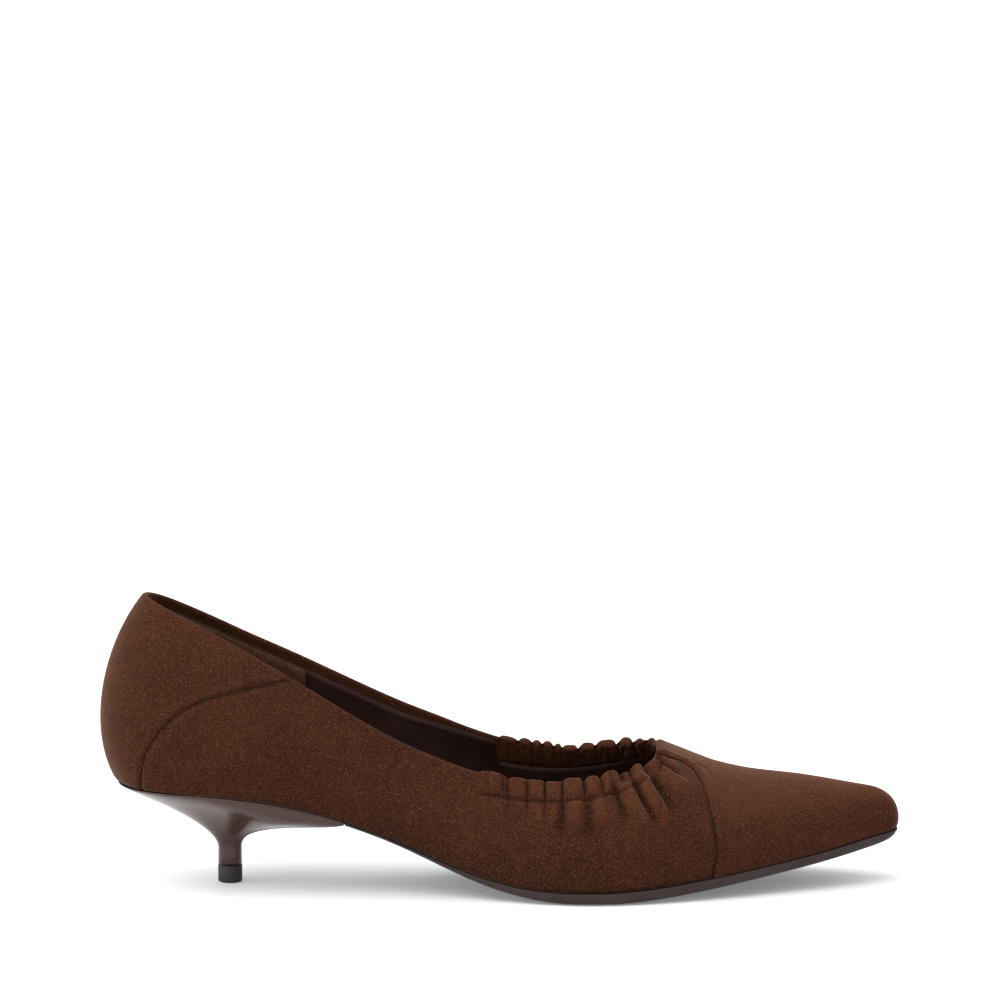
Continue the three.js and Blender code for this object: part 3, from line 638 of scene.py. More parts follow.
def blend_colour(tree, share, a, b, kind="MIX"):
    node = add(tree, "ShaderNodeMix", data_type="RGBA", blend_type=kind)
    socket(tree, share, node.inputs[0])
    socket(tree, a, node.inputs[6])
    socket(tree, b, node.inputs[7])
    return node.outputs[2]


def calculate(tree, operation, a, b=0.0):
    node = add(tree, "ShaderNodeMath", operation=operation)
    socket(tree, a, node.inputs[0])
    socket(tree, b, node.inputs[1])
    return node.outputs[0]


def new_group(name, inputs, outputs):
    tree = bpy.data.node_groups.new(name, "ShaderNodeTree")
    for label, kind, value in inputs:
        made = tree.interface.new_socket(label, in_out="INPUT", socket_type=kind)
        made.default_value = value
    for label, kind in outputs:
        tree.interface.new_socket(label, in_out="OUTPUT", socket_type=kind)
    start = tree.nodes.new("NodeGroupInput")
    end = tree.nodes.new("NodeGroupOutput")
    return tree, start.outputs, end.inputs


def suede_nap_group():
    """Short nap: patches brushed light and dark, fine specks, and the painted light and shade that the mesh carries:
    shade in folds, seams and low sides, light on ridges and on top.
    """
    tree, given, out = new_group(
        "suede nap",
        [("Dark", "NodeSocketColor", (0, 0, 0, 1)), ("Light", "NodeSocketColor", (1, 1, 1, 1)),
         ("Speck", "NodeSocketColor", (1, 1, 1, 1)), ("Nap Size", "NodeSocketFloat", 1.0)],
        [("Color", "NodeSocketColor"), ("Height", "NodeSocketFloat"), ("Roughness", "NodeSocketFloat")])
    where = add(tree, "ShaderNodeTexCoord").outputs["Object"]
    scaled = add(tree, "ShaderNodeVectorMath", {0: where, "Scale": given["Nap Size"]}, operation="SCALE").outputs[0]
    brushed = noise(tree, scaled, 38.0, 3.0, 0.55)
    mottled = noise(tree, scaled, 210.0, 4.0, 0.6)
    fibre = noise(tree, scaled, 2400.0, 3.0, 0.7)
    fine = noise(tree, scaled, 4200.0, 2.0, 0.6)
    # Painted light and shade, read from the mesh
    painted_light_shade = add(tree, "ShaderNodeAttribute", attribute_name="painted_light_shade").outputs["Fac"]
    patches = calculate(tree, "ADD", remap(tree, brushed, 0.3, 0.7, 0.12, 0.42),
                        remap(tree, mottled, 0.3, 0.7, 0.08, 0.38))
    lit = calculate(tree, "ADD", patches, remap(tree, painted_light_shade, -1.2, 1.2, -0.7, 0.55))
    clamped = add(tree, "ShaderNodeClamp", {"Value": lit}).outputs[0]
    ground = blend_colour(tree, clamped, given["Dark"], given["Light"])
    flecked = blend_colour(tree, remap(tree, fibre, 0.5, 0.7, 0.0, 0.72), ground, given["Speck"])
    shaded = blend_colour(tree, remap(tree, fine, 0.35, 0.62, 0.6, 0.0), flecked, given["Dark"], "MULTIPLY")
    tree.links.new(shaded, out["Color"])
    height = calculate(tree, "ADD", calculate(tree, "MULTIPLY", fibre, 0.6), calculate(tree, "MULTIPLY", fine, 0.4))
    tree.links.new(height, out["Height"])
    tree.links.new(remap(tree, mottled, 0.3, 0.7, 0.86, 0.98), out["Roughness"])
    return tree


def leather_grain_group():
    """Fine pebble of smooth leather with faint cloudy gloss."""
    tree, given, out = new_group(
        "smooth leather grain",
        [("Color", "NodeSocketColor", (0, 0, 0, 1)), ("Worn", "NodeSocketColor", (0, 0, 0, 1)),
         ("Grain", "NodeSocketFloat", 900.0)],
        [("Color", "NodeSocketColor"), ("Height", "NodeSocketFloat"), ("Roughness", "NodeSocketFloat")])
    where = add(tree, "ShaderNodeTexCoord").outputs["Object"]
    grain = {"Vector": where, "Scale": given["Grain"]}
    cells = add(tree, "ShaderNodeTexVoronoi", grain, feature="F1").outputs["Distance"]
    clouds = noise(tree, where, 55.0, 3.0, 0.5)
    tree.links.new(blend_colour(tree, remap(tree, clouds, 0.35, 0.7), given["Color"], given["Worn"]), out["Color"])
    tree.links.new(cells, out["Height"])
    tree.links.new(remap(tree, clouds, 0.3, 0.7, 0.38, 0.55), out["Roughness"])
    return tree


SUEDE_NAP = suede_nap_group()
LEATHER_GRAIN = leather_grain_group()


def new_material(name):
    material = bpy.data.materials.new(name)
    material.use_nodes = True
    tree = material.node_tree
    shader = next(n for n in tree.nodes if n.type == "BSDF_PRINCIPLED")
    return material, tree, shader


def place_group(tree, group, **values):
    node = tree.nodes.new("ShaderNodeGroup")
    node.node_tree = group
    for key, value in values.items():
        node.inputs[key.replace("_", " ")].default_value = value
    return node


def rough_surface(tree, shader, node, distance, strength):
    bump = add(tree, "ShaderNodeBump", {"Height": node.outputs["Height"], "Distance": distance, "Strength": strength})
    tree.links.new(bump.outputs["Normal"], shader.inputs["Normal"])
    tree.links.new(node.outputs["Color"], shader.inputs["Base Color"])
    tree.links.new(node.outputs["Roughness"], shader.inputs["Roughness"])


def suede_material(name, dark, light, speck, nap_size=1.0):
    material, tree, shader = new_material(name)
    node = place_group(tree, SUEDE_NAP, Dark=dark, Light=light, Speck=speck, Nap_Size=nap_size)
    rough_surface(tree, shader, node, 0.0004, 0.55)
    shader.inputs["Specular IOR Level"].default_value = 0.05
    shader.inputs["Sheen Weight"].default_value = 0.24
    shader.inputs["Sheen Roughness"].default_value = 0.3
    shader.inputs["Sheen Tint"].default_value = (0.8, 0.5, 0.36, 1)
    return material


def leather_material(name, main, worn, grain):
    material, tree, shader = new_material(name)
    node = place_group(tree, LEATHER_GRAIN, Color=main, Worn=worn, Grain=grain)
    rough_surface(tree, shader, node, 0.00008, 0.5)
    shader.inputs["Specular IOR Level"].default_value = 0.15
    return material


def lacquer_material():
    material, tree, shader = new_material("heel_lacquer")
    node = place_group(tree, LEATHER_GRAIN, Color=colour(54, 31, 24), Worn=colour(61, 37, 30), Grain=60.0)
    tree.links.new(node.outputs["Color"], shader.inputs["Base Color"])
    shader.inputs["Roughness"].default_value = 0.26
    shader.inputs["Specular IOR Level"].default_value = 0.35
    shader.inputs["Coat Weight"].default_value = 0.18
    shader.inputs["Coat Roughness"].default_value = 0.12
    return material


def sole_material(name, main, worn, roughness):
    material, tree, shader = new_material(name)
    node = place_group(tree, LEATHER_GRAIN, Color=main, Worn=worn, Grain=1400.0)
    rough_surface(tree, shader, node, 0.00005, 0.35)
    for link in list(shader.inputs["Roughness"].links):
        tree.links.remove(link)
    shader.inputs["Roughness"].default_value = roughness
    shader.inputs["Specular IOR Level"].default_value = 0.25
    return material


def thread_material():
    material, tree, shader = new_material("thread")
    where = add(tree, "ShaderNodeTexCoord").outputs["Object"]
    twist = add(tree, "ShaderNodeTexWave", {"Vector": where, "Scale": 900.0, "Distortion": 1.0}).outputs["Fac"]
    tree.links.new(blend_colour(tree, twist, colour(34, 18, 11), colour(56, 33, 22)), shader.inputs["Base Color"])
    shader.inputs["Roughness"].default_value = 0.8
    shader.inputs["Specular IOR Level"].default_value = 0.1
    return material


SUEDE_BROWN = suede_material("suede_brown", colour(39, 19, 11), colour(74, 41, 26), colour(118, 75, 51))
SUEDE_GRIP = suede_material("suede_grip", colour(58, 34, 24), colour(98, 66, 50), colour(140, 104, 84), 1.2)
LINING = leather_material("lining_leather", colour(35, 20, 17), colour(47, 29, 25), 1100.0)
SOCK = leather_material("sock_leather", colour(36, 21, 17), colour(50, 32, 26), 1000.0)
LACQUER = lacquer_material()
SOLE_EDGE = sole_material("sole_edge", colour(42, 30, 28), colour(51, 38, 36), 0.55)
TIP_RUBBER = sole_material("tip_rubber", colour(38, 36, 36), colour(48, 45, 46), 0.6)
THREAD = thread_material()


# Upper
def facing_depth(side, x):
    """How far the suede shows inside: a narrow strip that runs out, then the back of the casing."""
    start = CASING_AT[side] * LENGTH
    strip = mix(FACING, 0.9, smooth((x - start + 34) / 32))
    return mix(strip, CASING_IN, smooth((x - start + 1.5) / 1.5))


UP, DOWN, INSIDE, BACK = range(4)
PAINTED_FACING_LIGHT = 0.8  # painted light: the turned-in suede is coloured a little lighter, lifting its shade
FINE_ROWS = 18.0  # depth of the finer rows under the topline, where the gathers are


def upper_rows():
    """Rows of a piece's section: outside up to the topline, over it, and down the facing inside.
    Each has a kind, how far up or down, how far out, and how much of the outside's relief it takes."""
    rows = [(UP, share, 0.0, 1.0) for share in np.linspace(0, 1, 46)[:-1]]
    rows += [(DOWN, down, 0.0, 1.0) for down in np.linspace(FINE_ROWS, EDGE_ROLL, 52)]
    for turn in np.linspace(0, math.pi, 12)[1:]:
        down = EDGE_ROLL * (1 - 1.25 * math.sin(turn))
        rows.append((DOWN, down, -EDGE_ROLL * (1 - math.cos(turn)), math.cos(turn)))
    rows += [(INSIDE, share, -2 * EDGE_ROLL, -1.0) for share in np.linspace(0, 1, 22)[1:]]
    rows += [(BACK, share, -SUEDE, 0.0) for share in (0.0, 0.5, 1.0)]
    return [np.array(column)[:, None] for column in zip(*rows)]


def facing_depth_at(place):
    x = top_x(place)
    return np.where(side_of(place) == LATERAL, facing_depth(LATERAL, x), facing_depth(MEDIAL, x))


def row_share(kind, amount, place):
    top = rib_length(place, top_share(place))
    fine = np.minimum(FINE_ROWS, 0.55 * top)
    fine_share = (amount - EDGE_ROLL) / (FINE_ROWS - EDGE_ROLL)
    depth = facing_depth_at(place) + 2.2
    up = amount * (top - fine)
    down = top - np.where(amount > EDGE_ROLL, mix(EDGE_ROLL, fine, fine_share), amount)
    inside = top - mix(EDGE_ROLL, depth, amount)
    back = (top - depth) * (1 - amount)
    return share_at(place, np.select([kind == UP, kind == DOWN, kind == INSIDE], [up, down, inside], back))


def upper_piece(name, first_seam, second_seam, columns, replaces, side=None):
    """A piece of the upper with its topline turned in. Seams are (seam, side) pairs, and the front end of
    a quarter lies under the toe piece."""
    kind, amount, out, lean = upper_rows()
    ends = [seam_places(seam, end_side, lambda p: row_share(kind[:, 0], amount[:, 0], p), len(kind))
            for seam, end_side in (first_seam, second_seam)]
    ends[0] = np.where(ends[0] > ends[1], ends[0] - ROUND, ends[0])
    place = place_along(np.linspace(along_feather(ends[0]), along_feather(ends[1]), columns, axis=1))
    share = row_share(kind, amount, place)
    base = rib(place, share)
    down = rib_length(place, top_share(place)) - rib_length(place, share)
    outside = (kind[:, 0] == UP) | ((kind[:, 0] == DOWN) & (lean[:, 0] == 1))
    seams = [TOE_SEAM_PATHS[end_side] if seam is lap_line_x else base[outside][:, column]
             for (seam, end_side), column in ((first_seam, 0), (second_seam, -1))]
    from_seams = [nearest(base, path)[0] for path in seams]
    near_seam = np.minimum(*from_seams)
    under_toe = base[..., 0] > toe_seam_x(base[..., 2] / COLLAR_HEIGHT) * LENGTH
    sunk = smooth(near_seam / LAP_SINKS) * under_toe
    outer = (kind == UP) | (kind == DOWN)
    relief, rise, outer_relief = np.zeros_like(place), np.zeros_like(place), np.zeros_like(place)
    if side is not None:
        x = top_x(place)
        outer_relief = held(casing_relief(side, x, down, CASING_OUT) + fold_relief(side, base))
        outer_relief = outer_relief * smooth(near_seam / 2)
        inner_relief = casing_relief(side, x, down, CASING_IN) + wrinkled(side, x, down)
        relief = np.where(outer, outer_relief, inner_relief * smooth(near_seam / 2))
        rise = gather_at(side, x)[2] * gathered(side, x) * smooth((THROAT_AT * LENGTH + 0.5 - x) / 2)
    at_topline = np.exp(-down / 2.5)
    relief += turned_edge(near_seam, 0.15, 0.7) * mix(1, 0.45, at_topline) * outer
    relief -= 0.7 * np.exp(-rib_length(place, share) / 0.7) * (kind == UP)
    offset = out + lean * relief
    offset = np.where(outer, offset, np.minimum(offset, outer_relief - np.where(kind == BACK, THINNEST, SUEDE)))
    offset = mix(offset, np.where(outer, LAP_FACE, LAP_BACK), sunk)
    rise = rise * (1 - sunk)
    moved = base + outward_normal(place, share) * offset[..., None]
    moved[..., 2] += rise * np.exp(-np.maximum(down, 0) / 5.0) * (kind != BACK)
    count = len(kind)
    faces = grid_faces(count, columns, closed=True)
    faces.append([i * columns for i in range(count)])
    faces.append([i * columns + columns - 1 for i in range(count)][::-1])
    # Painted shade at the seams; the suede's colour also takes painted light and shade from the relief, darker in
    # creases and lighter on ridges, painted shade on the lower sides, and painted light inside
    shade = np.minimum(*[seam_shade(distance, TOE_SEAM_SHADE if seam is lap_line_x else COUNTER_SEAM_SHADE)
                         for (seam, _), distance in zip((first_seam, second_seam), from_seams)])
    values = np.where(outer, relief + shade + low_shade(base[..., 2]), relief * 0.2 + PAINTED_FACING_LIGHT)
    return make_piece(name, moved, faces, SUEDE_BROWN, replaces, values)


PAINTED_TOP_LIGHT = 0.7  # painted light: the toe's top is coloured lighter where it faces up


def toe_piece():
    """The plain front piece, from the throat to the tip."""
    rows, columns = 110, 440
    amount = np.linspace(0, 1, rows)[:, None]

    def share_of(p, amount=amount):
        return share_at(p, amount * rib_length(p, np.ones_like(p)))

    ends = [seam_places(toe_seam_x, side, lambda p: share_of(p, amount[:, 0]), rows)
            for side in (LATERAL, MEDIAL)]
    ends[0][-1], ends[1][-1] = THROAT, ROUND - THROAT
    place = place_along(np.linspace(along_feather(ends[0]), along_feather(ends[1]), columns, axis=1))
    share = share_of(place)
    base = rib(place, share)
    near_seam = np.minimum(*[nearest(base, base[:, column])[0] for column in (0, -1)])
    relief = OVERLAY_PROUD + turned_edge(near_seam, 0.45, 0.35) - 0.7 * np.exp(-rib_length(place, share) / 0.7)
    normal = outward_normal(place, share)
    # Painted light on the up-facing top of the toe
    painted_light_on_top = PAINTED_TOP_LIGHT * smooth((normal[..., 2] - 0.4) / 0.55)
    outer = base + normal * relief[..., None]
    inner = base - normal * SUEDE
    for grid in (outer, inner):
        grid[-1] = (grid[-1] + grid[-1][::-1]) / 2
    first = rows * columns
    faces = grid_faces(rows, columns)
    faces += [face[::-1] for face in grid_faces(rows, columns, start=first)]
    for j in range(columns - 1):
        faces.append([j + 1, j, first + j, first + j + 1])
    for i in range(rows - 1):
        a, b = i * columns, (i + 1) * columns
        faces.append([a, b, first + b, first + a])
        a, b = a + columns - 1, b + columns - 1
        faces.append([b, a, first + a, first + b])
    points = np.concatenate([outer.reshape(-1, 3), inner.reshape(-1, 3)])
    # Painted light and shade: a painted highlight on the raised edge, painted shade at the seam and low down, painted
    # light on top
    shade = np.minimum(relief, PAINTED_EDGE_LIGHT) + seam_shade(near_seam, TOE_SEAM_SHADE / 2)
    shade = shade + low_shade(base[..., 2]) + painted_light_on_top
    return make_piece("toe_piece", points, faces, SUEDE_BROWN, ("toe_cap",),
                      np.concatenate([shade.ravel(), shade.ravel() * 0]), weld=0.005)


# Lining
def lining_shell(name, first, second, columns, top_down, bottom, face, back, material, rows=70):
    """A skin inside the upper between two places, from a depth under the topline to near the insole."""
    run = np.linspace(along_feather(np.array(first)), along_feather(np.array(second)), columns)
    place = place_along(run)[None, :]
    start = rib_length(place, top_share(place)) - top_down(place)
    amount = np.concatenate([np.linspace(0, 1, rows), np.linspace(1, 0, 3)])[:, None]
    offset = np.where(np.arange(rows + 3) < rows, face, back)[:, None]
    tucked = 0.6 * bell(amount * (rows - 1), 1.5) * (offset == face)
    place = place + 0 * amount
    share = share_at(place, mix(start, bottom, amount))
    points = rib(place, share) + outward_normal(place, share) * (offset + tucked)[..., None]
    count = len(amount)
    faces = grid_faces(count, columns, closed=True)
    whole = abs(second - first) > ROUND - 1e-6
    if not whole:
        faces.append([i * columns for i in range(count)])
        faces.append([i * columns + columns - 1 for i in range(count)][::-1])
    return make_piece(name, points, faces, material, weld=0.01 if whole else 0)


def lining_depth(place):
    """Depth of the lining's top edge under the topline, none at the crest in front of the throat."""
    return facing_depth_at(place) * smooth((THROAT_AT * LENGTH + 3 - top_x(place)) / 3)


def lining():
    return lining_shell("lining", 0.0, float(ROUND), 900, lining_depth, 1.0, LINING_FACE, LINING_BACK, LINING)


def heel_grip():
    """The suede patch that keeps the heel from slipping."""
    edge = float(section_where(foot_x, 67.0))
    return lining_shell("heel_grip", -edge, edge, 260, lambda p: facing_depth_at(p) + 0.3, 3.0, GRIP_FACE,
                        LINING_FACE + 0.05, SUEDE_GRIP, rows=50)


# Sole and heel
SOLE_MARGIN = 0.4
WAIST_INSET = 0.8
BREAST_AT = 0.309
TREAD = 3.9
TOE_SOLE = 3.6
WAIST_SOLE = 1.5
BREAST = float(section_where(foot_x, BREAST_AT * LENGTH))


def feather_edge(section, side, margin):
    place = place_of(section, side)
    step = 0.01
    along = np.stack([foot_x(place + step) - foot_x(place - step), foot_y(place + step) - foot_y(place - step)], -1)
    along /= np.linalg.norm(along, axis=-1)[..., None]
    margin = np.broadcast_to(margin, np.shape(section))
    return np.stack([foot_x(place) + along[..., 1] * margin, foot_y(place) - along[..., 0] * margin], -1)


SEAT_X = foot_x(np.linspace(0, TIP, 1701))
SEAT_Z = foot_z(np.linspace(0, TIP, 1701))


def feather_height(x):
    return np.interp(x, SEAT_X, SEAT_Z)


def sole_top(x):
    return feather_height(x) - CLEARANCE


def lofted(name, stations, material, replaces):
    """A solid through closed loops of points, its two ends closed."""
    points = np.array(stations)
    count, size = points.shape[:2]
    faces = []
    for i in range(count - 1):
        for j in range(size):
            k = (j + 1) % size
            faces.append([i * size + j, (i + 1) * size + j, (i + 1) * size + k, i * size + k])
    faces.append(list(range(size)))
    faces.append([(count - 1) * size + j for j in range(size)][::-1])
    return make_piece(name, points, faces, material, replaces, weld=0.002)


def slab_loop(a, b, top_at, under, across=14):
    """One section of a sole or sock: over the top, round the edges and back underneath."""
    width = max(np.linalg.norm(b - a), 1e-3)
    loop = []
    for share in np.linspace(0, 1, across):
        x, y = mix(a, b, share)
        loop.append([x, y, top_at(x, share)])
    for inset, height in reversed(under):
        x, y = mix(b, a, min(inset / width, 0.5))
        loop.append([x, y, height(x)])
    inset, height = under[0]
    for share in np.linspace(min(inset / width, 0.5), 1 - min(inset / width, 0.5), across)[1:-1]:
        x, y = mix(b, a, share)
        loop.append([x, y, height(x)])
    for inset, height in under:
        x, y = mix(a, b, min(inset / width, 0.5))
        loop.append([x, y, height(x)])
    return loop


WAIST_RUN = (0.36, 0.63)  # the sole thickens from waist to tread, shares of the length
TOE_RUN = (0.677, 0.927)  # and thins from tread to toe
TIP_SOLE = 1.1
TIP_ROUND = 10.0


def outsole():
    stations = []
    for step in np.linspace(0, 1, 170):
        section = mix(BREAST, TIP, 1 - (1 - step) ** 1.35)
        at = float(foot_x(np.array(section))) / LENGTH
        waist = float(smooth((at - WAIST_RUN[0]) / (WAIST_RUN[1] - WAIST_RUN[0])))
        toe = float(smooth((at - TOE_RUN[0]) / (TOE_RUN[1] - TOE_RUN[0])))
        thick = mix(mix(WAIST_SOLE, TREAD, waist), TOE_SOLE, toe)
        margin = mix(-WAIST_INSET, SOLE_MARGIN, waist)
        a = feather_edge(np.array(section), LATERAL, margin)
        b = feather_edge(np.array(section), MEDIAL, margin)

        def under(x, thick=thick):
            rounding = math.sqrt(1 - float(np.clip(1 - (LENGTH - x) / TIP_ROUND, 0, 1)) ** 2)
            return max(0.0, float(sole_top(x)) - mix(TIP_SOLE, thick, rounding))

        def level(lift_up, under=under):
            return lambda x: min(float(sole_top(x)) - 0.25, under(x) + lift_up)

        profile = [(3.4, level(0.0)), (2.4, level(0.2)), (1.4, level(0.5)), (0.6, level(0.9)), (0.2, level(1.35)),
                   (0.0, level(1.9)), (0.06, lambda x: float(sole_top(x)) - 0.25)]
        stations.append(slab_loop(a, b, lambda x, share: float(sole_top(x)), profile))
    return lofted("sole", stations, SOLE_EDGE, ("outsole",))


def sock():
    """The sock on the insole, slightly crowned, with a soft edge."""
    stations = []
    for step in np.linspace(0, 1, 120):
        at = np.array(float(TIP) * step)
        a, b = feather_edge(at, LATERAL, -2.9), feather_edge(at, MEDIAL, -2.9)
        width = np.linalg.norm(b - a)

        def top(x, share, width=width):
            return float(feather_height(x)) + 2.0 + 0.5 * math.sin(math.pi * share) * min(1, width / 30)

        def level(up):
            return lambda x: float(feather_height(x)) + up

        stations.append(slab_loop(a, b, top, [(0.5, level(0.05)), (0.0, level(0.6)), (0.0, level(1.5))]))
    return lofted("sock", stations, SOCK, ("insole",))


STEM_AT = 0.1625
STEM_RADIUS = 3.85
STEM_TOP = 11.5
KNEE_BACK = 17.5
KNEE_FRONT = 19.2
TOP_PIECE = 5.7
TOP_PIECE_RADIUS = 3.95
HEEL_INSET = 0.4
Rim = namedtuple("Rim", "at depth")
HEEL_RIM = [Rim(0.02, 0.7), Rim(0.12, 1.2), Rim(0.17, 2.6), Rim(0.235, 4.6), Rim(0.285, 2.6), Rim(0.31, 1.3)]
RIM_ROUNDING = 8  # steps of the turn from the sweep under the seat into its upright rim
rim_depth = line_through([r.at for r in HEEL_RIM], [r.depth for r in HEEL_RIM])


def heel():
    """The wide seat sweeps in to a slim stem, with wings that run forward under the waist."""
    stations, across, sweep = 80, 12, 30
    top = []
    for section in np.linspace(0, BREAST, stations + 1):
        a = feather_edge(np.array(section), LATERAL, -HEEL_INSET)
        b = feather_edge(np.array(section), MEDIAL, -HEEL_INSET)
        row = [mix(a, b, share) for share in np.linspace(0, 1, across + 1)]
        top.append([[x, y, float(sole_top(x))] for x, y in row])
    axis = np.array([STEM_AT * LENGTH, 0.0])
    foot = TOP_PIECE + CLEARANCE

    def rib_under(edge):
        edge = np.array(edge)
        out = edge[:2] - axis
        radius = np.linalg.norm(out)
        out /= radius
        lip = edge[2] - float(rim_depth(edge[0] / LENGTH))
        front = float(smooth((out[0] + 0.1) / 0.9))
        knee = mix(KNEE_BACK, KNEE_FRONT, front)

        def spot(r, z):
            return np.array([axis[0] + out[0] * r, axis[1] + out[1] * r, z])

        handles = [spot(STEM_RADIUS, STEM_TOP), spot(STEM_RADIUS, knee),
                   spot(mix(STEM_RADIUS, radius, mix(0.52, 0.5, front)), mix(lip, knee, mix(0.42, 0.72, front))),
                   spot(radius - 0.3, lip)]
        points = [spot(STEM_RADIUS, foot), spot(STEM_RADIUS, mix(foot, STEM_TOP, 0.5))]
        for t in np.linspace(0, 1, sweep):
            u = 1 - t
            near = handles[0] * u**3 + handles[1] * 3 * t * u * u
            points.append(near + handles[2] * 3 * t * t * u + handles[3] * t**3)
        corner, start = points[-1], points[-7]
        points = points[:-7]
        end = mix(corner, edge, 0.7)
        for t in np.linspace(0, 1, RIM_ROUNDING):
            points.append(start * (1 - t) ** 2 + corner * 2 * t * (1 - t) + end * t * t)
        points.append(edge)
        return points

    loop = [row[0] for row in top][::-1] + [row[-1] for row in top[1:]] + top[-1][1:-1][::-1]
    points, faces = [], []
    for row in top:
        points += row
    for i in range(stations):
        for j in range(across):
            a = i * (across + 1) + j
            b = a + across + 1
            faces += [[a, b, b + 1, a + 1]]
    first = len(points)
    ribs = [rib_under(edge) for edge in loop]
    size = len(ribs[0])
    for one in ribs:
        points += [list(p) for p in one]
    for i in range(len(ribs)):
        n = (i + 1) % len(ribs)
        for k in range(size - 1):
            a, b = first + i * size + k, first + n * size + k
            faces.append([a, a + 1, b + 1, b])
    points.append([axis[0], axis[1], foot])
    centre = len(points) - 1
    for i in range(len(ribs)):
        faces.append([centre, first + i * size, first + ((i + 1) % len(ribs)) * size])
    return make_piece("heel_block", points, faces, LACQUER, ("heel",), weld=0.004)


def heel_tip():
    """The rubber top piece, with a fine bevel at both ends."""
    r = TOP_PIECE_RADIUS
    profile = [(0, 0), (r - 0.5, 0), (r - 0.25, 0.12), (r - 0.06, 0.35), (r, 0.6), (r, TOP_PIECE - 0.3),
               (r - 0.25, TOP_PIECE), (0, TOP_PIECE)]
    turns = 96
    angles = [2 * math.pi * i / turns for i in range(turns)]
    points = [[STEM_AT * LENGTH + radius * math.cos(angle), radius * math.sin(angle), z]
              for radius, z in profile for angle in angles]
    faces = []
    for k in range(len(profile) - 1):
        for i in range(turns):
            n = (i + 1) % turns
            faces.append([k * turns + i, k * turns + n, (k + 1) * turns + n, (k + 1) * turns + i])
    return make_piece("heel_tip", points, faces, TIP_RUBBER, ("top_piece",), weld=0.002)


# Stitches
def stitch_row(name, places, share_of, out_of, length=2.1, gap=0.75, thick=0.22):
    """A row of separate stitches that lie on the surface."""
    path = rib(places, share_of(places)) + outward_normal(places, share_of(places)) * out_of(places)[..., None]
    steps = np.concatenate([[0], np.cumsum(np.linalg.norm(np.diff(path, axis=0), axis=-1))])
    normals = outward_normal(places, share_of(places))

    def at(distance, values):
        return np.stack([np.interp(distance, steps, values[:, k]) for k in range(3)], -1)

    points, faces = [], []
    rings, around = 7, 6
    for start in np.arange(1.0, steps[-1] - length - 1.0, length + gap):
        distance = start + np.linspace(0, length, rings)
        centre, normal = at(distance, path), at(distance, normals)
        tangent = np.gradient(centre, axis=0)
        tangent /= np.linalg.norm(tangent, axis=-1)[..., None]
        side = np.cross(tangent, normal)
        bulge = np.sin(np.linspace(0.12, math.pi - 0.12, rings)) ** 0.5
        first = len(points)
        for i in range(rings):
            for k in range(around):
                turn = 2 * math.pi * k / around
                offset = side[i] * math.cos(turn) + normal[i] * math.sin(turn)
                points.append(centre[i] + offset * thick * bulge[i] - normal[i] * 0.12 * (1 - bulge[i]))
        for i in range(rings - 1):
            for k in range(around):
                n = (k + 1) % around
                faces.append([first + i * around + k, first + i * around + n,
                              first + (i + 1) * around + n, first + (i + 1) * around + k])
        faces.append([first + k for k in range(around)][::-1])
        faces.append([first + (rings - 1) * around + k for k in range(around)])
    return make_piece(name, points, faces, THREAD)


def casing_stitches(side, name):
    first = float(section_where(lambda s: top_x(place_of(s, side)), GATHERS[side][0].x + 1))
    last = float(section_where(lambda s: top_x(place_of(s, side)), CASING_RUNS_OUT["to"] - 1.5))
    places = place_of(np.linspace(first, last, 500), side)

    def share_of(p):
        return share_below_top(p, CASING_OUT)

    def out_of(p):
        points = rib(p, share_of(p))
        return held(casing_relief(side, top_x(p), CASING_OUT + 0 * p, CASING_OUT) + fold_relief(side, points)) + 0.05

    return stitch_row(name, places, share_of, out_of)


def lining_stitches():
    edge = float(section_where(foot_x, CASING_AT[LATERAL] * LENGTH - 6))
    places = np.linspace(-edge, edge, 900)
    return stitch_row("lining_stitches", places, lambda p: share_below_top(p, lining_depth(p) + 1.3),
                      lambda p: LINING_FACE - 0.05 + 0 * p, length=1.6, thick=0.14)


upper_piece("quarter_lateral", (counter_seam_x, LATERAL), (lap_line_x, LATERAL), 480,
            ("upper", "casing_lateral"), LATERAL)
upper_piece("quarter_medial", (lap_line_x, MEDIAL), (counter_seam_x, MEDIAL), 480,
            ("upper", "casing_medial"), MEDIAL)
upper_piece("counter_piece", (counter_seam_x, MEDIAL), (counter_seam_x, LATERAL), 260, ("back_counter",))
toe_piece()
lining()
heel_grip()
sock()
outsole()
heel()
heel_tip()
casing_stitches(LATERAL, "casing_stitches_lateral")
casing_stitches(MEDIAL, "casing_stitches_medial")
lining_stitches()


# Floor, light and camera
SKY_LOW = 0.7
SKY_HIGH = 1.7
SUN_POWER = 2.3
SIDE_POWER = 1.3
FLOOR_GREY = 0.62
FLOOR_GLOW = 0.17  # lifts the shadows on the floor, as on a lit sweep


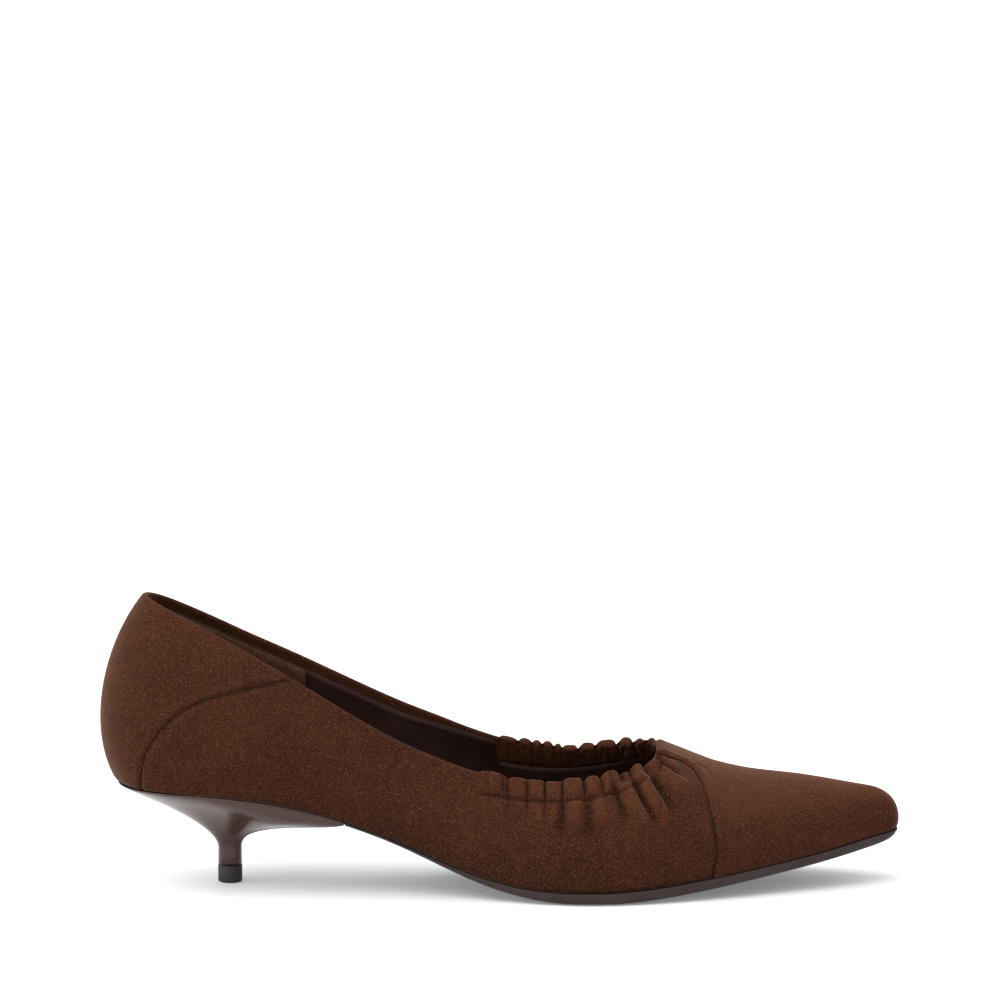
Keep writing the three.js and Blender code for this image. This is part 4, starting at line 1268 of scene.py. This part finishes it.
def studio():
    floor_mesh = bpy.data.meshes.new("floor")
    half = 40.0
    corners = [(-half, -half, 0), (half, -half, 0), (half, half, 0), (-half, half, 0)]
    floor_mesh.from_pydata(corners, [], [(0, 1, 2, 3)])
    floor = bpy.data.objects.new("floor", floor_mesh)
    bpy.context.collection.objects.link(floor)
    material, tree, shader = new_material("pale_floor")
    shader.inputs["Base Color"].default_value = (FLOOR_GREY, FLOOR_GREY, FLOOR_GREY, 1)
    shader.inputs["Emission Color"].default_value = (1, 1, 1, 1)
    shader.inputs["Emission Strength"].default_value = FLOOR_GLOW
    shader.inputs["Roughness"].default_value = 0.7
    floor_mesh.materials.append(material)

    world = bpy.data.worlds.new("studio")
    world.use_nodes = True
    tree = world.node_tree
    direction = add(tree, "ShaderNodeTexCoord").outputs["Generated"]
    height = add(tree, "ShaderNodeSeparateXYZ", {"Vector": direction}).outputs["Z"]
    sky = remap(tree, height, 0.0, 1.0, SKY_LOW, SKY_HIGH)
    background = tree.nodes["Background"]
    background.inputs["Color"].default_value = (1, 1, 1, 1)
    tree.links.new(sky, background.inputs["Strength"])
    bpy.context.scene.world = world
    bpy.context.scene.view_settings.view_transform = "Standard"

    sun = bpy.data.lights.new("overhead_light", "SUN")
    sun.energy = SUN_POWER
    sun.angle = math.radians(70)
    lamp = bpy.data.objects.new("overhead_light", sun)
    lamp.rotation_euler = (math.radians(8), math.radians(-24), 0)
    bpy.context.collection.objects.link(lamp)

    side = bpy.data.lights.new("back_light", "SUN")
    side.energy = SIDE_POWER
    side.angle = math.radians(60)
    lamp = bpy.data.objects.new("back_light", side)
    lamp.rotation_euler = Vector((0.88, 0.14, -0.45)).to_track_quat("-Z", "Y").to_euler()
    bpy.context.collection.objects.link(lamp)


CAMERA_RISE = 8.2  # degrees above the floor
CAMERA_DISTANCE = 1.8  # metres
PICTURE_WIDTH = 1 / 3.09  # metres across the picture at the shoe
AIM_AT = 0.1304  # metres from the heel
AIM_HEIGHT = 0.12579
SENSOR = 36


def camera():
    """At the photo's angle: a long lens a little above the shoe, from its lateral side."""
    elevation = math.radians(CAMERA_RISE)
    aim = np.array([AIM_AT - TREAD_AT * LENGTH / 1000, 0, AIM_HEIGHT])
    back = np.array([0, -math.cos(elevation), math.sin(elevation)])
    data = bpy.data.cameras.new("camera")
    data.sensor_width = SENSOR
    data.lens = SENSOR * CAMERA_DISTANCE / PICTURE_WIDTH
    made = bpy.data.objects.new("camera", data)
    made.location = aim + back * CAMERA_DISTANCE
    made.rotation_euler = (math.pi / 2 - elevation, 0, 0)
    bpy.context.collection.objects.link(made)
    bpy.context.scene.camera = made


studio()
camera()
